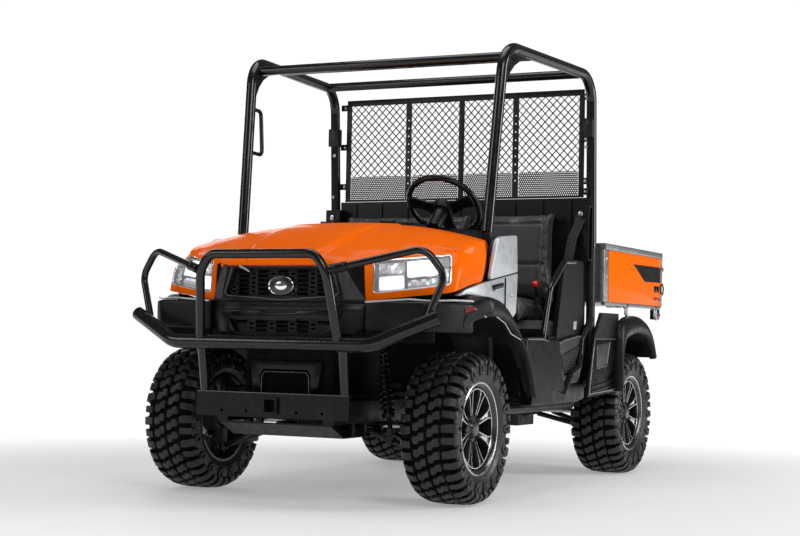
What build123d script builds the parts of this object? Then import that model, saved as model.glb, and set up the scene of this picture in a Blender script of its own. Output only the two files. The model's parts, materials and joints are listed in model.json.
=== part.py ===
from build123d import *
from math import copysign, cos, radians, sin
import os

os.makedirs("parts", exist_ok=True)

# Side-by-side utility vehicle. Millimetres, +X forward, +Y to the left, +Z up, ground at Z 0.

# Stance
wheelbase = 2010
front_reach = 596  # front axle to the foremost tube of the brush guard
rear_reach = 432  # rear axle to the rearmost hitch face
front_axle_x = (wheelbase + rear_reach - front_reach) / 2
rear_axle_x = front_axle_x - wheelbase
half_track = 620
tyre_radius = 317
tyre_width = 254
axle_z = tyre_radius
running_fit = 0.05  # radial clearance of a shaft in its own bore
seat_gap = 0.3  # between pieces that only touch
moving_gap = 6.0  # between pieces that pass each other

# Wheels
rim_radius = 186
rim_wall = 21
rim_width = 220
flange_height = 10
flange_thickness = 8
disc_offset = 70  # wheel centre to the middle of the disc
disc_thickness = 16
spindle_radius = 30
hub_radius = 56
spoke_count = 8
tyre_facets = 24
tread_radius = tyre_radius - 19
shoulder_radius = 262
tread_half = 108
lug_count = 16
lug_root = 16
lug_rows = (  # centre across the tread, length across, width around, step in pitches
    (-92, 46, 44, 0.5),
    (0, 84, 40, 0),
    (92, 46, 44, 0.5),
)
hub_depth = 12
hub_bore = 72  # wheel centre to the blind end of the spindle's bore
spindle_end = half_track + hub_bore - seat_gap
joint_ball = 40

# Steering
kingpin_y = 520
kingpin_radius = 10
kingpin_reach = 131  # above and below the axle
steering_arm = 110  # kingpin to tie rod
steering_arm_z = axle_z - 18
rack_z = axle_z + 1
rack_radius = 20
rack_bar = 11
arm_thickness = 14
wheel_tilt = 45
steering_wheel_at = (front_axle_x - 446, 340, 1285)
steering_wheel_radius = 166
grip_radius = 14

# Frame
rail_y = 250
rail_width = 50
rail_low = 330
rail_high = 420
rail_front = front_axle_x + 440
rail_rear = rear_axle_x - 370
skid_half = 262
arch_half = 310
receiver = 50.8
plate_hole = 6.5
sill_tube_y = 600
cage_foot_z = 1155
cage_rear_foot_z = 1150
cage_z = 1990
floor_thickness = 6
floor_z = rail_high + seat_gap + floor_thickness
cage_radius = 25
cage_bend = 130
cab_front = front_axle_x - 430  # toe board's foot
cab_half = 700
seat_rear = front_axle_x - 1362
overall_half = 802

# Hood
hood_rear = front_axle_x - 243
hood_front = front_axle_x + 420
hood_wall = 5
lens_inset = 3
lens_wall = 5
lamp_back = 110
grille_back = 392
hinge_pin = 4
hood_hinge = (front_axle_x - 255, 1203)

# Cargo bed
bed_front = front_axle_x - 1450
bed_rear = rear_axle_x - 380
bed_half = 765
bed_floor_z = 890
bed_rail_z = 1175
bed_inner_half = 733
bed_hinge = (rear_axle_x - 322, 800)
gate_thickness = 25
gate_hinge = (bed_rear - 22, bed_floor_z - 5)

# Lift cylinder, as placed with the bed down
lift_y = 178
lift_foot = (front_axle_x - 1800, 330)
lift_eye = (front_axle_x - 2100, 850)
barrel_radius = 24
barrel_length = 380
rod_radius = 12
lift_pin = 8
gate_pin = 5
side_panel_y = 704


def ahead(distance):
    """X of a point this far ahead of the front axle."""
    return front_axle_x + distance


def block(xs, ys, zs, mode=Mode.ADD):
    """A box between two values on each axis."""
    with Locations(((xs[0] + xs[1]) / 2, (ys[0] + ys[1]) / 2, (zs[0] + zs[1]) / 2)):
        Box(xs[1] - xs[0], ys[1] - ys[0], zs[1] - zs[0], mode=mode)


def rod(start, end, radius, mode=Mode.ADD):
    """A round bar between two points."""
    run = Vector(*end) - Vector(*start)
    with Locations(Plane(origin=start, z_dir=run)):
        Cylinder(radius, run.length, align=(Align.CENTER, Align.CENTER, Align.MIN), mode=mode)


def tube(points, radius, bend, mode=Mode.ADD):
    """A round tube bent to one radius at each corner."""
    with BuildLine(mode=Mode.PRIVATE) as route:
        FilletPolyline(*points, radius=bend)
    with BuildSketch(Plane(origin=route.line @ 0, z_dir=route.line % 0), mode=Mode.PRIVATE) as ring:
        Circle(radius)
    sweep(ring.sketch, path=route.line, mode=mode)


def side_cut(points, y_low, y_high, mode=Mode.ADD):
    """An outline in X and Z, drawn out across the vehicle."""
    with BuildSketch(Plane.XZ.offset(-y_high), mode=Mode.PRIVATE) as outline:
        Polygon(*points, align=None)
    extrude(outline.sketch, amount=y_high - y_low, mode=mode)


def front_cut(points, x_low, x_high, mode=Mode.ADD):
    """An outline in Y and Z, drawn out along the vehicle."""
    with BuildSketch(Plane.YZ.offset(x_low), mode=Mode.PRIVATE) as outline:
        Polygon(*points, align=None)
    extrude(outline.sketch, amount=x_high - x_low, mode=mode)


def top_cut(points, z_low, z_high, mode=Mode.ADD):
    """An outline in X and Y, drawn out upwards."""
    with BuildSketch(Plane.XY.offset(z_low), mode=Mode.PRIVATE) as outline:
        Polygon(*points, align=None)
    extrude(outline.sketch, amount=z_high - z_low, mode=mode)


def both_sides(points):
    """A half outline in Y and Z, closed by its mirror image."""
    return list(points) + [(-y, z) for y, z in reversed(points) if y > 0]


def save(builder, name):
    """Label the finished piece and write it."""
    builder.part.label = name
    export_step(builder.part, f"parts/{name}.step")


# ---- Wheels: one rim and one tyre, set at each corner ----

disc_back = disc_offset - disc_thickness / 2
bead = rim_width / 2 - flange_thickness

with BuildPart() as rim:
    Cylinder(rim_radius, rim_width)
    for end in (-1, 1):
        with Locations((0, 0, end * (rim_width - flange_thickness) / 2)):
            Cylinder(rim_radius + flange_height, flange_thickness)
    Cylinder(rim_radius - rim_wall, rim_width, mode=Mode.SUBTRACT)
    with Locations((0, 0, disc_offset)):
        Cylinder(rim_radius - rim_wall, disc_thickness)
    with Locations((0, 0, disc_back - hub_depth)):
        Cylinder(hub_radius, disc_thickness + 2 * hub_depth, align=(Align.CENTER, Align.CENTER, Align.MIN))
    with BuildSketch(Plane.XY.offset(disc_back)):
        with PolarLocations(0, spoke_count):
            Polygon((70, -14), (148, -36), (148, 36), (70, 14), align=None)
        with PolarLocations(0, spoke_count, start_angle=180 / spoke_count):
            Polygon((96, -4), (148, -9), (148, 9), (96, 4), align=None)
    extrude(amount=disc_thickness, mode=Mode.SUBTRACT)
    Cylinder(spindle_radius + running_fit, 2 * hub_bore, mode=Mode.SUBTRACT)

with BuildPart() as tyre:
    for low, low_radius, high, high_radius in (
        (-tyre_width / 2, shoulder_radius, -tread_half, tread_radius),
        (-tread_half, tread_radius, tread_half, tread_radius),
        (tread_half, tread_radius, tyre_width / 2, shoulder_radius),
    ):
        with BuildSketch(Plane.XY.offset(low)):
            RegularPolygon(low_radius, tyre_facets)
        with BuildSketch(Plane.XY.offset(high)):
            RegularPolygon(high_radius, tyre_facets)
        loft(ruled=True)
    for row, length, width, step in lug_rows:
        for k in range(lug_count):
            turn = 360 / lug_count * (k + step)
            outward = Vector(cos(radians(turn)), sin(radians(turn)), 0)
            foot = outward * (tread_radius - lug_root) + Vector(0, 0, row)
            with BuildSketch(Plane(origin=foot, x_dir=(0, 0, 1), z_dir=outward)):
                Rectangle(length, width)
    extrude(amount=tyre_radius - tread_radius + lug_root)
    with BuildSketch(Plane.XY.offset(-tyre_width)):
        RegularPolygon(rim_radius, tyre_facets, major_radius=False)
    extrude(amount=2 * tyre_width, mode=Mode.SUBTRACT)
    for end in (-1, 1):
        with BuildSketch(Plane.XY.offset(end * bead)):
            RegularPolygon(rim_radius + flange_height + 5, tyre_facets)
        with BuildSketch(Plane.XY.offset(end * tyre_width / 2)):
            RegularPolygon(shoulder_radius - 14, tyre_facets)
        loft(ruled=True, mode=Mode.SUBTRACT)

for corner, axle_x, side in (
    ("front_left", front_axle_x, 1),
    ("front_right", front_axle_x, -1),
    ("rear_left", rear_axle_x, 1),
    ("rear_right", rear_axle_x, -1),
):
    hub_plane = Plane(origin=(axle_x, side * half_track, axle_z), x_dir=(1, 0, 0), z_dir=(0, side, 0))
    for name, pattern in (("rim", rim), ("tyre", tyre)):
        with BuildPart() as placed:
            with Locations(hub_plane):
                add(pattern.part)
        save(placed, f"{name}_{corner}")

# ---- Frame: rails, cross members, cab frame, skid plate ----

with BuildPart() as rails:
    block((rail_rear, rail_front), (rail_y - rail_width / 2, rail_y + rail_width / 2), (rail_low, rail_high))
    mirror(about=Plane.XZ)
save(rails, "frame_rails")

rail_inside = rail_y - rail_width / 2
rail_outside = rail_y + rail_width / 2
shaft_z = 362
member_low = 380
front_foot = (ahead(-289), 619, cage_foot_z)
frame_foot = (ahead(-405), sill_tube_y, rail_low + 45)
rear_post_x = ahead(-1388)
rear_post_y = 713
with BuildPart() as cab_frame:
    for x in (frame_foot[0], rear_post_x):
        rod((x, rail_outside, frame_foot[2]), (x, sill_tube_y, frame_foot[2]), 20)
    rod((frame_foot[0] + 24, *frame_foot[1:]), (rear_post_x - 35, *frame_foot[1:]), 23)
    rod(frame_foot, front_foot, cage_radius - 3)
    rod((rear_post_x, *frame_foot[1:]), (rear_post_x, rear_post_y, rail_low + 200), 19)
    rod((rear_post_x, rear_post_y, rail_low + 170), (rear_post_x, rear_post_y, cage_rear_foot_z), cage_radius - 3)
    block((ahead(-320), ahead(-260)), (590, 660), (cage_foot_z, cage_foot_z + 20), Mode.SUBTRACT)
    for x in (rail_front - 30, ahead(330), ahead(-420), ahead(-960), ahead(-1440), rail_rear + 30):
        block((x - 25, x + 25), (0, rail_inside), (member_low, rail_high - 2))
    mirror(about=Plane.XZ)
save(cab_frame, "cab_frame")

with BuildPart() as skid:
    side_cut(
        (
            (ahead(-380), 270),
            (ahead(330), 270),
            (ahead(440), 323),
            (ahead(440), rail_low - seat_gap),
            (ahead(327), 276),
            (ahead(-380), 276),
        ),
        -skid_half,
        skid_half,
    )
    for x in (ahead(-360), ahead(-30), ahead(240)):
        for side in (-1, 1):
            block((x - 15, x + 15), sorted((side * (rail_inside + 5), side * (rail_y + 10))), (276, rail_low))
save(skid, "skid_plate")

with BuildPart() as subframe:
    front_cut(both_sides(((arch_half, rail_high), (arch_half, 640), (250, 742), (0, 742))), ahead(112), ahead(118))
    front_cut(both_sides(((240, rail_high), (240, 600), (180, 680), (0, 680))), ahead(112), ahead(118), Mode.SUBTRACT)
    for side in (-1, 1):
        block((ahead(-110), ahead(44)), (side * 297 - 6, side * 297 + 6), (473.3, 492))
        block((ahead(-118), ahead(-110)), (side * 280 - 25, side * 280 + 25), (rail_high, rail_high + 90))
        low, high = sorted((side * 70, side * 100))
        block((ahead(-steering_arm - 12), ahead(-steering_arm + 12)), (low, high), (rack_z + 20, 346))
    block((ahead(-steering_arm - 14), ahead(-steering_arm + 14)), (-rail_inside, rail_inside), (339, 346))
    rod((ahead(-steering_arm), -120, rack_z), (ahead(-steering_arm), 120, rack_z), rack_radius)
    rod((ahead(-steering_arm), -130, rack_z), (ahead(-steering_arm), 130, rack_z), rack_bar + running_fit, Mode.SUBTRACT)
save(subframe, "front_subframe")

# ---- Bumper plate, receiver and brush guard ----

plate_front = ahead(473)
with BuildPart() as plate:
    block((plate_front - 6, plate_front), (-359, 359), (350, 450))
    block((plate_front - 26, plate_front - 6), (-359, 359), (442, 450))
    block((rail_front, plate_front - 6), (-rail_outside, rail_outside), (352, 410))
    block((rail_front - 1, plate_front + 14), (-33, 33), (367, 433))
    block((rail_front - 1, plate_front + 14), (-receiver / 2, receiver / 2), (400 - receiver / 2, 400 + receiver / 2), Mode.SUBTRACT)
    with Locations(*[Plane(origin=(plate_front, y, 375), z_dir=(1, 0, 0)) for y in (-236, -118, 118, 236)]):
        Hole(plate_hole)
save(plate, "bumper_plate")

beam_z = 656


def beam(mode=Mode.ADD):
    """The guard's cross beam, swept back at its ends."""
    ends = (ahead(404), 711, 770)
    middle = (ahead(503), 462, beam_z)
    left = (middle, ends)
    right = [(x, -y, z) for x, y, z in reversed(left)]
    tube((*right, *left), 30, 120, mode)


with BuildPart() as guard_beam:
    beam()
    for side in (-1, 1):
        rod((ahead(485), side * 332, 642), (ahead(453), side * 329, 445), 19)
        block((ahead(420), ahead(490)), sorted((side * 300, side * 360)), (420, 450), Mode.SUBTRACT)
save(guard_beam, "brush_guard_beam")

with BuildPart() as guard_hoops:
    tube(
        (
            (ahead(512), -323, beam_z + 8),
            (ahead(575), -292, 960),
            (ahead(577), -240, 1016),
            (ahead(577), 240, 1016),
            (ahead(575), 292, 960),
            (ahead(512), 323, beam_z + 8),
        ),
        19,
        (150, 55, 55, 150),
    )
    for side in (-1, 1):
        tube(
            (
                (ahead(398), side * 652, 752),
                (ahead(362), side * 720, 935),
                (ahead(385), side * 640, 1045),
                (ahead(565), side * 300, 950),
            ),
            15,
            (70, 70),
        )
    beam(Mode.SUBTRACT)
save(guard_hoops, "brush_guard_hoops")

# ---- Nose: fascia, grille, badge, fenders ----

fascia_outline = ((279, 990), (367, 828), (367, 600), (0, 600))
with BuildPart() as fascia:
    side_cut(
        (
            (ahead(300), 700),
            (ahead(395), 689),
            (ahead(412), 780),
            (ahead(398), 830),
            (ahead(412), 890),
            (ahead(412), 977),
            (ahead(300), 977),
        ),
        -362,
        362,
    )
    front_cut(both_sides(fascia_outline), ahead(290), ahead(430), Mode.INTERSECT)
    for side in (-1, 1):
        block((ahead(306), ahead(330)), sorted((side * 200, side * 224)), (rail_high - 2, 705))
    front_cut(both_sides(((230, 962), (268, 852), (0, 845))), ahead(grille_back), ahead(430), Mode.SUBTRACT)
    front_cut(both_sides(((265, 790), (220, 700), (0, 700))), ahead(grille_back), ahead(430), Mode.SUBTRACT)
    block((ahead(300), ahead(grille_back - 12)), (-210, 210), (705, 955), Mode.SUBTRACT)
save(fascia, "front_fascia")

with BuildPart() as grille:
    for zs, half_low, half_high in (((853, 961), 258, 226), ((706, 784), 216, 256)):
        front_cut(both_sides(((half_low, zs[0]), (half_high, zs[1]))), ahead(grille_back), ahead(grille_back + 10))
    for z, count, shift in (
        (871, 9, 0),
        (889, 9, 24),
        (907, 9, 0),
        (925, 9, 24),
        (943, 8, 0),
        (725, 8, 0),
        (745, 8, 24),
        (765, 8, 0),
    ):
        with BuildSketch(Plane.YZ.offset(ahead(grille_back))):
            with Locations((shift - 12, z)):
                with GridLocations(48, 1, count, 1):
                    SlotOverall(40, 10)
        extrude(amount=10, mode=Mode.SUBTRACT)
save(grille, "grille")

with BuildPart() as badge:
    with BuildSketch(Plane.YZ.offset(ahead(grille_back + 10))):
        with Locations((0, 893)):
            Ellipse(62, 42)
    extrude(amount=16)
    with BuildSketch(Plane.YZ.offset(ahead(grille_back + 22))):
        with Locations((0, 893)):
            Ellipse(52, 33)
    extrude(amount=4, mode=Mode.SUBTRACT)
save(badge, "badge")

with BuildPart() as radiator:
    block((ahead(306), ahead(352)), (-195, 195), (rail_high - 2, 680))
    for z in range(460, 661, 25):
        block((ahead(348), ahead(352)), (-180, 180), (z, z + 12), Mode.SUBTRACT)
save(radiator, "radiator")

# ---- Hood: a bulged shell whose wings wrap the lamps ----

hood_sections = (  # ahead of axle, then Y and Z of crest, plateau, shoulder, corner and foot
    (420, (0, 1031), (150, 1029), (230, 1016), (290, 990), (292, 800)),
    (345, (0, 1066), (165, 1064), (280, 1034), (374, 1018), (388, 800)),
    (180, (0, 1128), (180, 1126), (330, 1078), (664, 1062), (690, 800)),
    (60, (0, 1162), (190, 1160), (340, 1104), (672, 1080), (702, 800)),
    (-243, (0, 1198), (200, 1196), (352, 1140), (640, 1113), (702, 800)),
)
lamp_outline = ((372, 996), (392, 864), (655, 906), (684, 940), (676, 1034))


def hood_form(inset, mode=Mode.ADD):
    """The hood's outer form, drawn in by an inset, as a stack of ruled lofts."""
    for front, back in zip(hood_sections, hood_sections[1:]):
        sections = []
        for distance, crest, plateau, shoulder, corner, foot in (front, back):
            shift = -inset if distance == hood_sections[0][0] else 0
            shift = -2 * inset if distance == hood_sections[-1][0] and inset else shift
            half = [(y - inset if y else 0, z - inset) for y, z in (crest, plateau, shoulder, corner)]
            half += [(foot[0] - inset, foot[1] - inset), (0, foot[1] - inset)]
            with BuildSketch(Plane.YZ.offset(ahead(distance + shift)), mode=Mode.PRIVATE) as section:
                Polygon(*half, *[(-y, z) for y, z in reversed(half) if y > 0], align=None)
            sections.append(section.sketch)
        loft(sections, ruled=True, mode=mode)


def lamp_windows(x_low, x_high, mode):
    """Both lamp outlines drawn along the vehicle."""
    with BuildSketch(Plane.YZ.offset(x_low), mode=Mode.PRIVATE) as outline:
        Polygon(*lamp_outline, align=None)
        Polygon(*[(-y, z) for y, z in lamp_outline], align=None)
    extrude(outline.sketch, amount=x_high - x_low, mode=mode)


lug_y = (130, 170)
hinge_x, hinge_z = hood_hinge
with BuildPart() as hood:
    hood_form(0)
    hood_form(hood_wall, Mode.SUBTRACT)
    side_cut(
        (
            (ahead(450), 832),
            (ahead(343), 832),
            (ahead(230), 878),
            (ahead(-39), 931),
            (ahead(-243), 1113),
            (ahead(-270), 1113),
            (ahead(-270), 700),
            (ahead(450), 700),
        ),
        -overall_half,
        overall_half,
        Mode.SUBTRACT,
    )
    front_cut(both_sides(((285, 991), (373, 827), (373, 700), (0, 700))), ahead(280), ahead(450), Mode.SUBTRACT)
    lamp_windows(ahead(lamp_back), ahead(450), Mode.SUBTRACT)
    for side in (-1, 1):
        low, high = sorted((side * lug_y[0], side * lug_y[1]))
        side_cut(
            (
                (hinge_x - 2, hinge_z + 8),
                (hood_rear + 20, hinge_z + 2),
                (hood_rear + 20, hinge_z - 14),
                (hood_rear + 1, hinge_z - 12),
                (hinge_x, hinge_z - 8),
            ),
            low,
            high,
        )
        rod((hinge_x, low, hinge_z), (hinge_x, high, hinge_z), 2 * hinge_pin)
        rod((hinge_x, low, hinge_z), (hinge_x, high, hinge_z), hinge_pin + running_fit, Mode.SUBTRACT)
save(hood, "hood")

with BuildPart() as lenses:
    hood_form(lens_inset)
    hood_form(lens_inset + lens_wall, Mode.SUBTRACT)
    lamp_windows(ahead(lamp_back), ahead(450), Mode.INTERSECT)
save(lenses, "headlamp_lenses")

with BuildPart() as lamps:
    hood_form(lens_inset + lens_wall)
    lamp_windows(ahead(lamp_back), ahead(450), Mode.INTERSECT)
    for side in (-1, 1):
        for ys, zs, depth in (((402, 520), (890, 985), 215), ((530, 640), (925, 1010), 150)):
            low, high = sorted((side * ys[0], side * ys[1]))
            block((ahead(depth), ahead(450)), (low, high), zs, Mode.SUBTRACT)
save(lamps, "headlamp_housings")

# ---- Cowl strip, dashboard, silver side cowls, fenders ----

cowl_front = hinge_x - 9
front_corner = (ahead(-386), 645, cage_z)
cowl_ends = (
    (cowl_front, ((0, 1199), (200, 1197), (352, 1141), (642, 1114), (660, 1080), (0, 1080))),
    (ahead(-400), ((0, 1212), (200, 1210), (352, 1184), (590, 1166), (612, 1110), (0, 1110))),
)


def cowl_form(mode=Mode.ADD):
    """The cowl between the hood's rear edge and the dashboard."""
    sections = []
    for x, half in cowl_ends:
        with BuildSketch(Plane.YZ.offset(x), mode=Mode.PRIVATE) as section:
            Polygon(*half, *[(-y, z) for y, z in reversed(half) if y > 0], align=None)
        sections.append(section.sketch)
    loft(sections, ruled=True, mode=mode)


with BuildPart() as cowl:
    cowl_form()
    for side in (-1, 1):
        low, high = sorted((side * (lug_y[0] - 8), side * (lug_y[1] + 8)))
        block((cowl_front - 16, cowl_front + 30), (low, high), (hinge_z - 24, hinge_z + 20), Mode.SUBTRACT)
        rod((hinge_x, low - 8, hinge_z), (hinge_x, high + 8, hinge_z), hinge_pin)
        for end in (low - 8, high):
            block((cowl_front - 2, hinge_x + 5), (end, end + 8), (hinge_z - 8, hinge_z + 5))
        low, high = sorted((side * 688, side * 700))
        band = ((-252, 1112), (-300, 1108), (-118, 940), (-60, 921), (-48, 927), (-50, 931))
        side_cut([(ahead(x), z) for x, z in band], low, high)
        block((ahead(-296), cowl_front - 1), sorted((side * 635, side * 701.7)), (1095, 1107))
        post = [(x, side * y, z) for x, y, z in (frame_foot, front_foot, front_corner)]
        rod(post[0], post[1], cage_radius, Mode.SUBTRACT)
        rod(post[1], post[2], cage_radius + seat_gap, Mode.SUBTRACT)
save(cowl, "cowl_strip")

dash_half = 572
with BuildPart() as dash:
    dash_shape = ((-300, 1087.5), (-400, 1109.5), (-500, 1122), (-540, 1090), (-520, 1000), (-430, 905), (-345, 880))
    side_cut([(ahead(x), z) for x, z in dash_shape], -dash_half, dash_half)
    for ys in ((-540, -180), (-120, 130)):
        block((ahead(-560), ahead(-440)), ys, (985, 1075), Mode.SUBTRACT)
save(dash, "dashboard")

with BuildPart() as side_cowls:
    panel = (
        (150, 868),
        (-54, 915),
        (-128, 1080),
        (-172, 1133),
        (-391, 1149),
        (-372, 800),
        (-268, 728),
        (-110, 842),
        (50, 866),
    )
    side_cut([(ahead(x), z) for x, z in panel], 702, 722)
    mirror(about=Plane.XZ)
save(side_cowls, "side_cowls")

arch_skin = (
    (-430, 440),
    (-340, 610),
    (-220, 716),
    (-60, 775),
    (60, 782),
    (200, 765),
    (335, 712),
)
flare_top = ((345, 780), (330, 828), (253, 836), (61, 862), (-100, 838), (-262, 722), (-400, 580), (-508, 459), (-480, 440))
liner_skin = ((-424, 440), (-412, 640), (-300, 712), (-60, 780), (60, 787), (200, 770), (330, 712))
liner_inner = 430
corner_top = 825
rear_arch = ((-1660, 440), (-1690, 660), (-1740, 700), (-1960, 735), (-2120, 712), (-2203, 600))
rear_top = ((-2225, 627), (-2150, 745), (-1946, 819), (-1684, 784), (-1640, 700), (-1640, 440))
with BuildPart() as fenders:
    side_cut([(ahead(x), z) for x, z in flare_top + arch_skin], 722.3, overall_half)
    band = list(liner_skin) + [(x - 5, z + 5) for x, z in reversed(liner_skin)]
    side_cut([(ahead(x), z) for x, z in band], liner_inner, 724)
    rod(frame_foot, front_foot, cage_radius + 3, Mode.SUBTRACT)
    corner_plan = ((372, 367.3), (369, 640), (330, 722), (253, 724), (215, 724), (300, 640), (320, 367.3))
    top_cut([(ahead(x), y) for x, y in corner_plan], 704, corner_top)
    side_cut([(ahead(x), z) for x, z in rear_arch + rear_top], 756.3, overall_half)
    band = list(rear_arch) + [(x, z + 5) for x, z in reversed(rear_arch[1:])] + [(-1654, 440)]
    side_cut([(ahead(x), z) for x, z in band], 480, 739.7)
    side_cut([(ahead(x), z) for x, z in band], 756.3, 760)
    mirror(about=Plane.XZ)
save(fenders, "fenders")

# ---- Cab: floor, sills, seat base, bulkhead, side panels ----

with BuildPart() as floor:
    block((seat_rear, cab_front), (-cab_half + 5, cab_half - 5), (floor_z - floor_thickness, floor_z))
    toe = ((-6, 0), (-14, 290), (88, 345), (88, 455), (93, 455), (93, 340), (-8, 286), (1.5, 0))
    toe_board = [(cab_front + x, floor_z - floor_thickness + z) for x, z in toe]
    side_cut(toe_board, -dash_half, dash_half)
save(floor, "floor_pan")

with BuildPart() as sills:
    sill = ((-512, 458), (-830, 462), (-1093, 482), (-1200, 482), (-1200, 410), (-1093, 396), (-500, 396), (-512, 420))
    side_cut([(ahead(x), z) for x, z in sill], cab_half - 4.7, 752)
    mirror(about=Plane.XZ)
save(sills, "side_sills")

base_top = 780
with BuildPart() as seat_base:
    base = ((-830, floor_z + seat_gap), (-822, 640), (-845, 740), (-880, base_top), (-1362, base_top), (-1362, floor_z + seat_gap))
    side_cut([(ahead(x), z) for x, z in base], -685, 685)
    block((ahead(-1356), ahead(-860)), (-679, 679), (floor_z, base_top - 30), Mode.SUBTRACT)
save(seat_base, "seat_base")

seats = ((355, 430), (-250, 740))  # centre y and width of the driver's seat and of the bench
for name, outline in (
    ("seat_cushions", ((-835, 800), (-828, 850), (-860, 892), (-1200, 878), (-1222, base_top + 0.3), (-850, base_top + 0.3))),
    ("seat_backs", ((-1248, 850), (-1232, 960), (-1270, 1330), (-1300, 1352), (-1345, 1340), (-1340, 850))),
):
    with BuildPart() as pads:
        for centre, width in seats:
            side_cut([(ahead(x), z) for x, z in outline], centre - width / 2, centre + width / 2)
    save(pads, name)

with BuildPart() as bulkhead:
    block((ahead(-1386), ahead(-1380)), (-684, 684), (600, 1396))
    block((ahead(-1380), ahead(-1362.3)), (-600, 600), (610, 622))
    for y in range(-600, 601, 150):
        block((ahead(-1380), ahead(-1372)), (y - 12, y + 12), (base_top + 20, 1380))
    for side in (-1, 1):
        block((ahead(-1350), ahead(-1300)), sorted((side * 650, side * 730)), (1080, 1350))
        block((ahead(-1381), ahead(-1349)), sorted((side * 650, side * 682)), (1080, 1350))
    for y in (-500, 0, 500):
        block((ahead(-1380), ahead(-1345.3)), (y - 30, y + 30), (1180, 1300))
save(bulkhead, "bulkhead")

with BuildPart() as side_panels:
    panel = ((-940, 700), (-1040, 1060), (-1100, 1076), (-1300, 1076), (-1320, 720), (-1300, 484), (-1020, 484), (-960, 560))
    side_cut([(ahead(x), z) for x, z in panel], 685.3, side_panel_y)
    panel = ((-1330, 702), (-1440, 830), (-1700, 830), (-1690, 720), (-1655, 440), (-1238, 420), (-1320, 600))
    side_cut([(ahead(x), z) for x, z in panel], 740, 756)
    block((rear_post_x - 12, rear_post_x + 12), (rear_post_y + cage_radius - 3 + seat_gap, 740), (620, 660))
    mirror(about=Plane.XZ)
save(side_panels, "side_panels")

# ---- Roll cage, grab handle, side guards, rear screen ----

rear_corner = (ahead(-1345), 716, cage_z)
rear_foot = (rear_post_x, rear_post_y, cage_rear_foot_z)


def roof_point(share):
    """A point on the left roof tube, from its front corner to its rear one."""
    return tuple(a + (b - a) * share for a, b in zip(front_corner, rear_corner))


front_path = (front_foot, front_corner, roof_point(0.25))
rear_path = (rear_foot, rear_corner, roof_point(0.78))


def cage_post(path, side, mode=Mode.ADD):
    """One post of the cage with its bend into the roof."""
    tube([(x, side * y, z) for x, y, z in path], cage_radius, cage_bend, mode)


with BuildPart() as cage_posts:
    for side in (-1, 1):
        cage_post(front_path, side)
        cage_post(rear_path, side)
        for x, z in ((front_foot[0], cage_foot_z), (rear_foot[0], cage_rear_foot_z)):
            block((x - 40, x + 40), sorted((side * 560, side * 760)), (z - 20, z), Mode.SUBTRACT)
save(cage_posts, "cage_posts")

with BuildPart() as cage_roof:
    for side in (-1, 1):
        start, end = [(x, side * y, z) for x, y, z in (roof_point(0.25), roof_point(0.78))]
        rod(start, end, cage_radius)
    for x, y, z in ((-428, 650, 1945), (-700, 660, cage_z), (-1250, 708, cage_z)):
        rod((ahead(x), -y, z), (ahead(x), y, z), 22)
    for side in (-1, 1):
        cage_post(front_path, side, Mode.SUBTRACT)
        cage_post(rear_path, side, Mode.SUBTRACT)
save(cage_roof, "cage_roof")

# ---- Steering: knuckles, tie rods, wheel and column ----

knuckle_y = (526, 600)
upper_z = axle_z + kingpin_reach
lower_z = axle_z - kingpin_reach
boss_half = 11
for corner, side in (("left", 1), ("right", -1)):
    with BuildPart() as knuckle:
        rod((front_axle_x, side * knuckle_y[0], axle_z), (front_axle_x, side * knuckle_y[1], axle_z), 62)
        rod((front_axle_x, side * knuckle_y[1], axle_z), (front_axle_x, side * spindle_end, axle_z), spindle_radius)
        for up in (-1, 1):
            near, far = axle_z + up * 40, axle_z + up * (kingpin_reach - boss_half - 8)
            block((ahead(-18), ahead(18)), sorted((side * 510, side * 550)), sorted((near, far)))
            pin_end = axle_z + up * (kingpin_reach + boss_half + 6)
            rod((front_axle_x, side * kingpin_y, far), (front_axle_x, side * kingpin_y, pin_end), kingpin_radius)
        arm = ((-18, 545), (-118, 536), (-124, 520), (-118, 504), (-95, 504), (-18, 520))
        top_cut([(ahead(x), side * y) for x, y in arm], steering_arm_z - arm_thickness, steering_arm_z)
        block(
            (ahead(-60), ahead(-10)),
            sorted((side * 528, side * 548)),
            (steering_arm_z - arm_thickness, axle_z + 20),
        )
        with Locations((front_axle_x, side * kingpin_y, axle_z)):
            Sphere(joint_ball + 4, mode=Mode.SUBTRACT)
        pocket = (front_axle_x, side * 380, axle_z), (front_axle_x, side * (kingpin_y + 4), axle_z)
        rod(*pocket, joint_ball + 8, Mode.SUBTRACT)
    save(knuckle, f"knuckle_{corner}")

rod_x = ahead(-steering_arm)
with BuildPart() as tie_rods:
    for side in (-1, 1):
        rod((rod_x, side * 170, rack_z), (rod_x, side * 515, rack_z), 7)
        rod((rod_x, side * kingpin_y, steering_arm_z + 1), (rod_x, side * kingpin_y, rack_z + 12), 14)
    rod((rod_x, -175, rack_z), (rod_x, 175, rack_z), rack_bar)
save(tie_rods, "tie_rods")

wheel_axis = Vector(-cos(radians(wheel_tilt)), 0, sin(radians(wheel_tilt)))
hub_drop = 26
wheel_centre = Vector(*steering_wheel_at)
hub_centre = wheel_centre - wheel_axis * hub_drop
with BuildPart() as steering_wheel:
    with Locations(Plane(origin=wheel_centre, x_dir=(0, 1, 0), z_dir=wheel_axis)):
        Torus(steering_wheel_radius, grip_radius)
    with Locations(Plane(origin=hub_centre, x_dir=(0, 1, 0), z_dir=wheel_axis)):
        Cylinder(46, 34)
    for turn in (25, 155, 270):
        across = Vector(0, cos(radians(turn)), 0)
        upward = Vector(sin(radians(wheel_tilt)), 0, cos(radians(wheel_tilt))) * sin(radians(turn))
        rod(hub_centre, wheel_centre + (across + upward) * (steering_wheel_radius - 4), 11)
save(steering_wheel, "steering_wheel")

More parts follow.
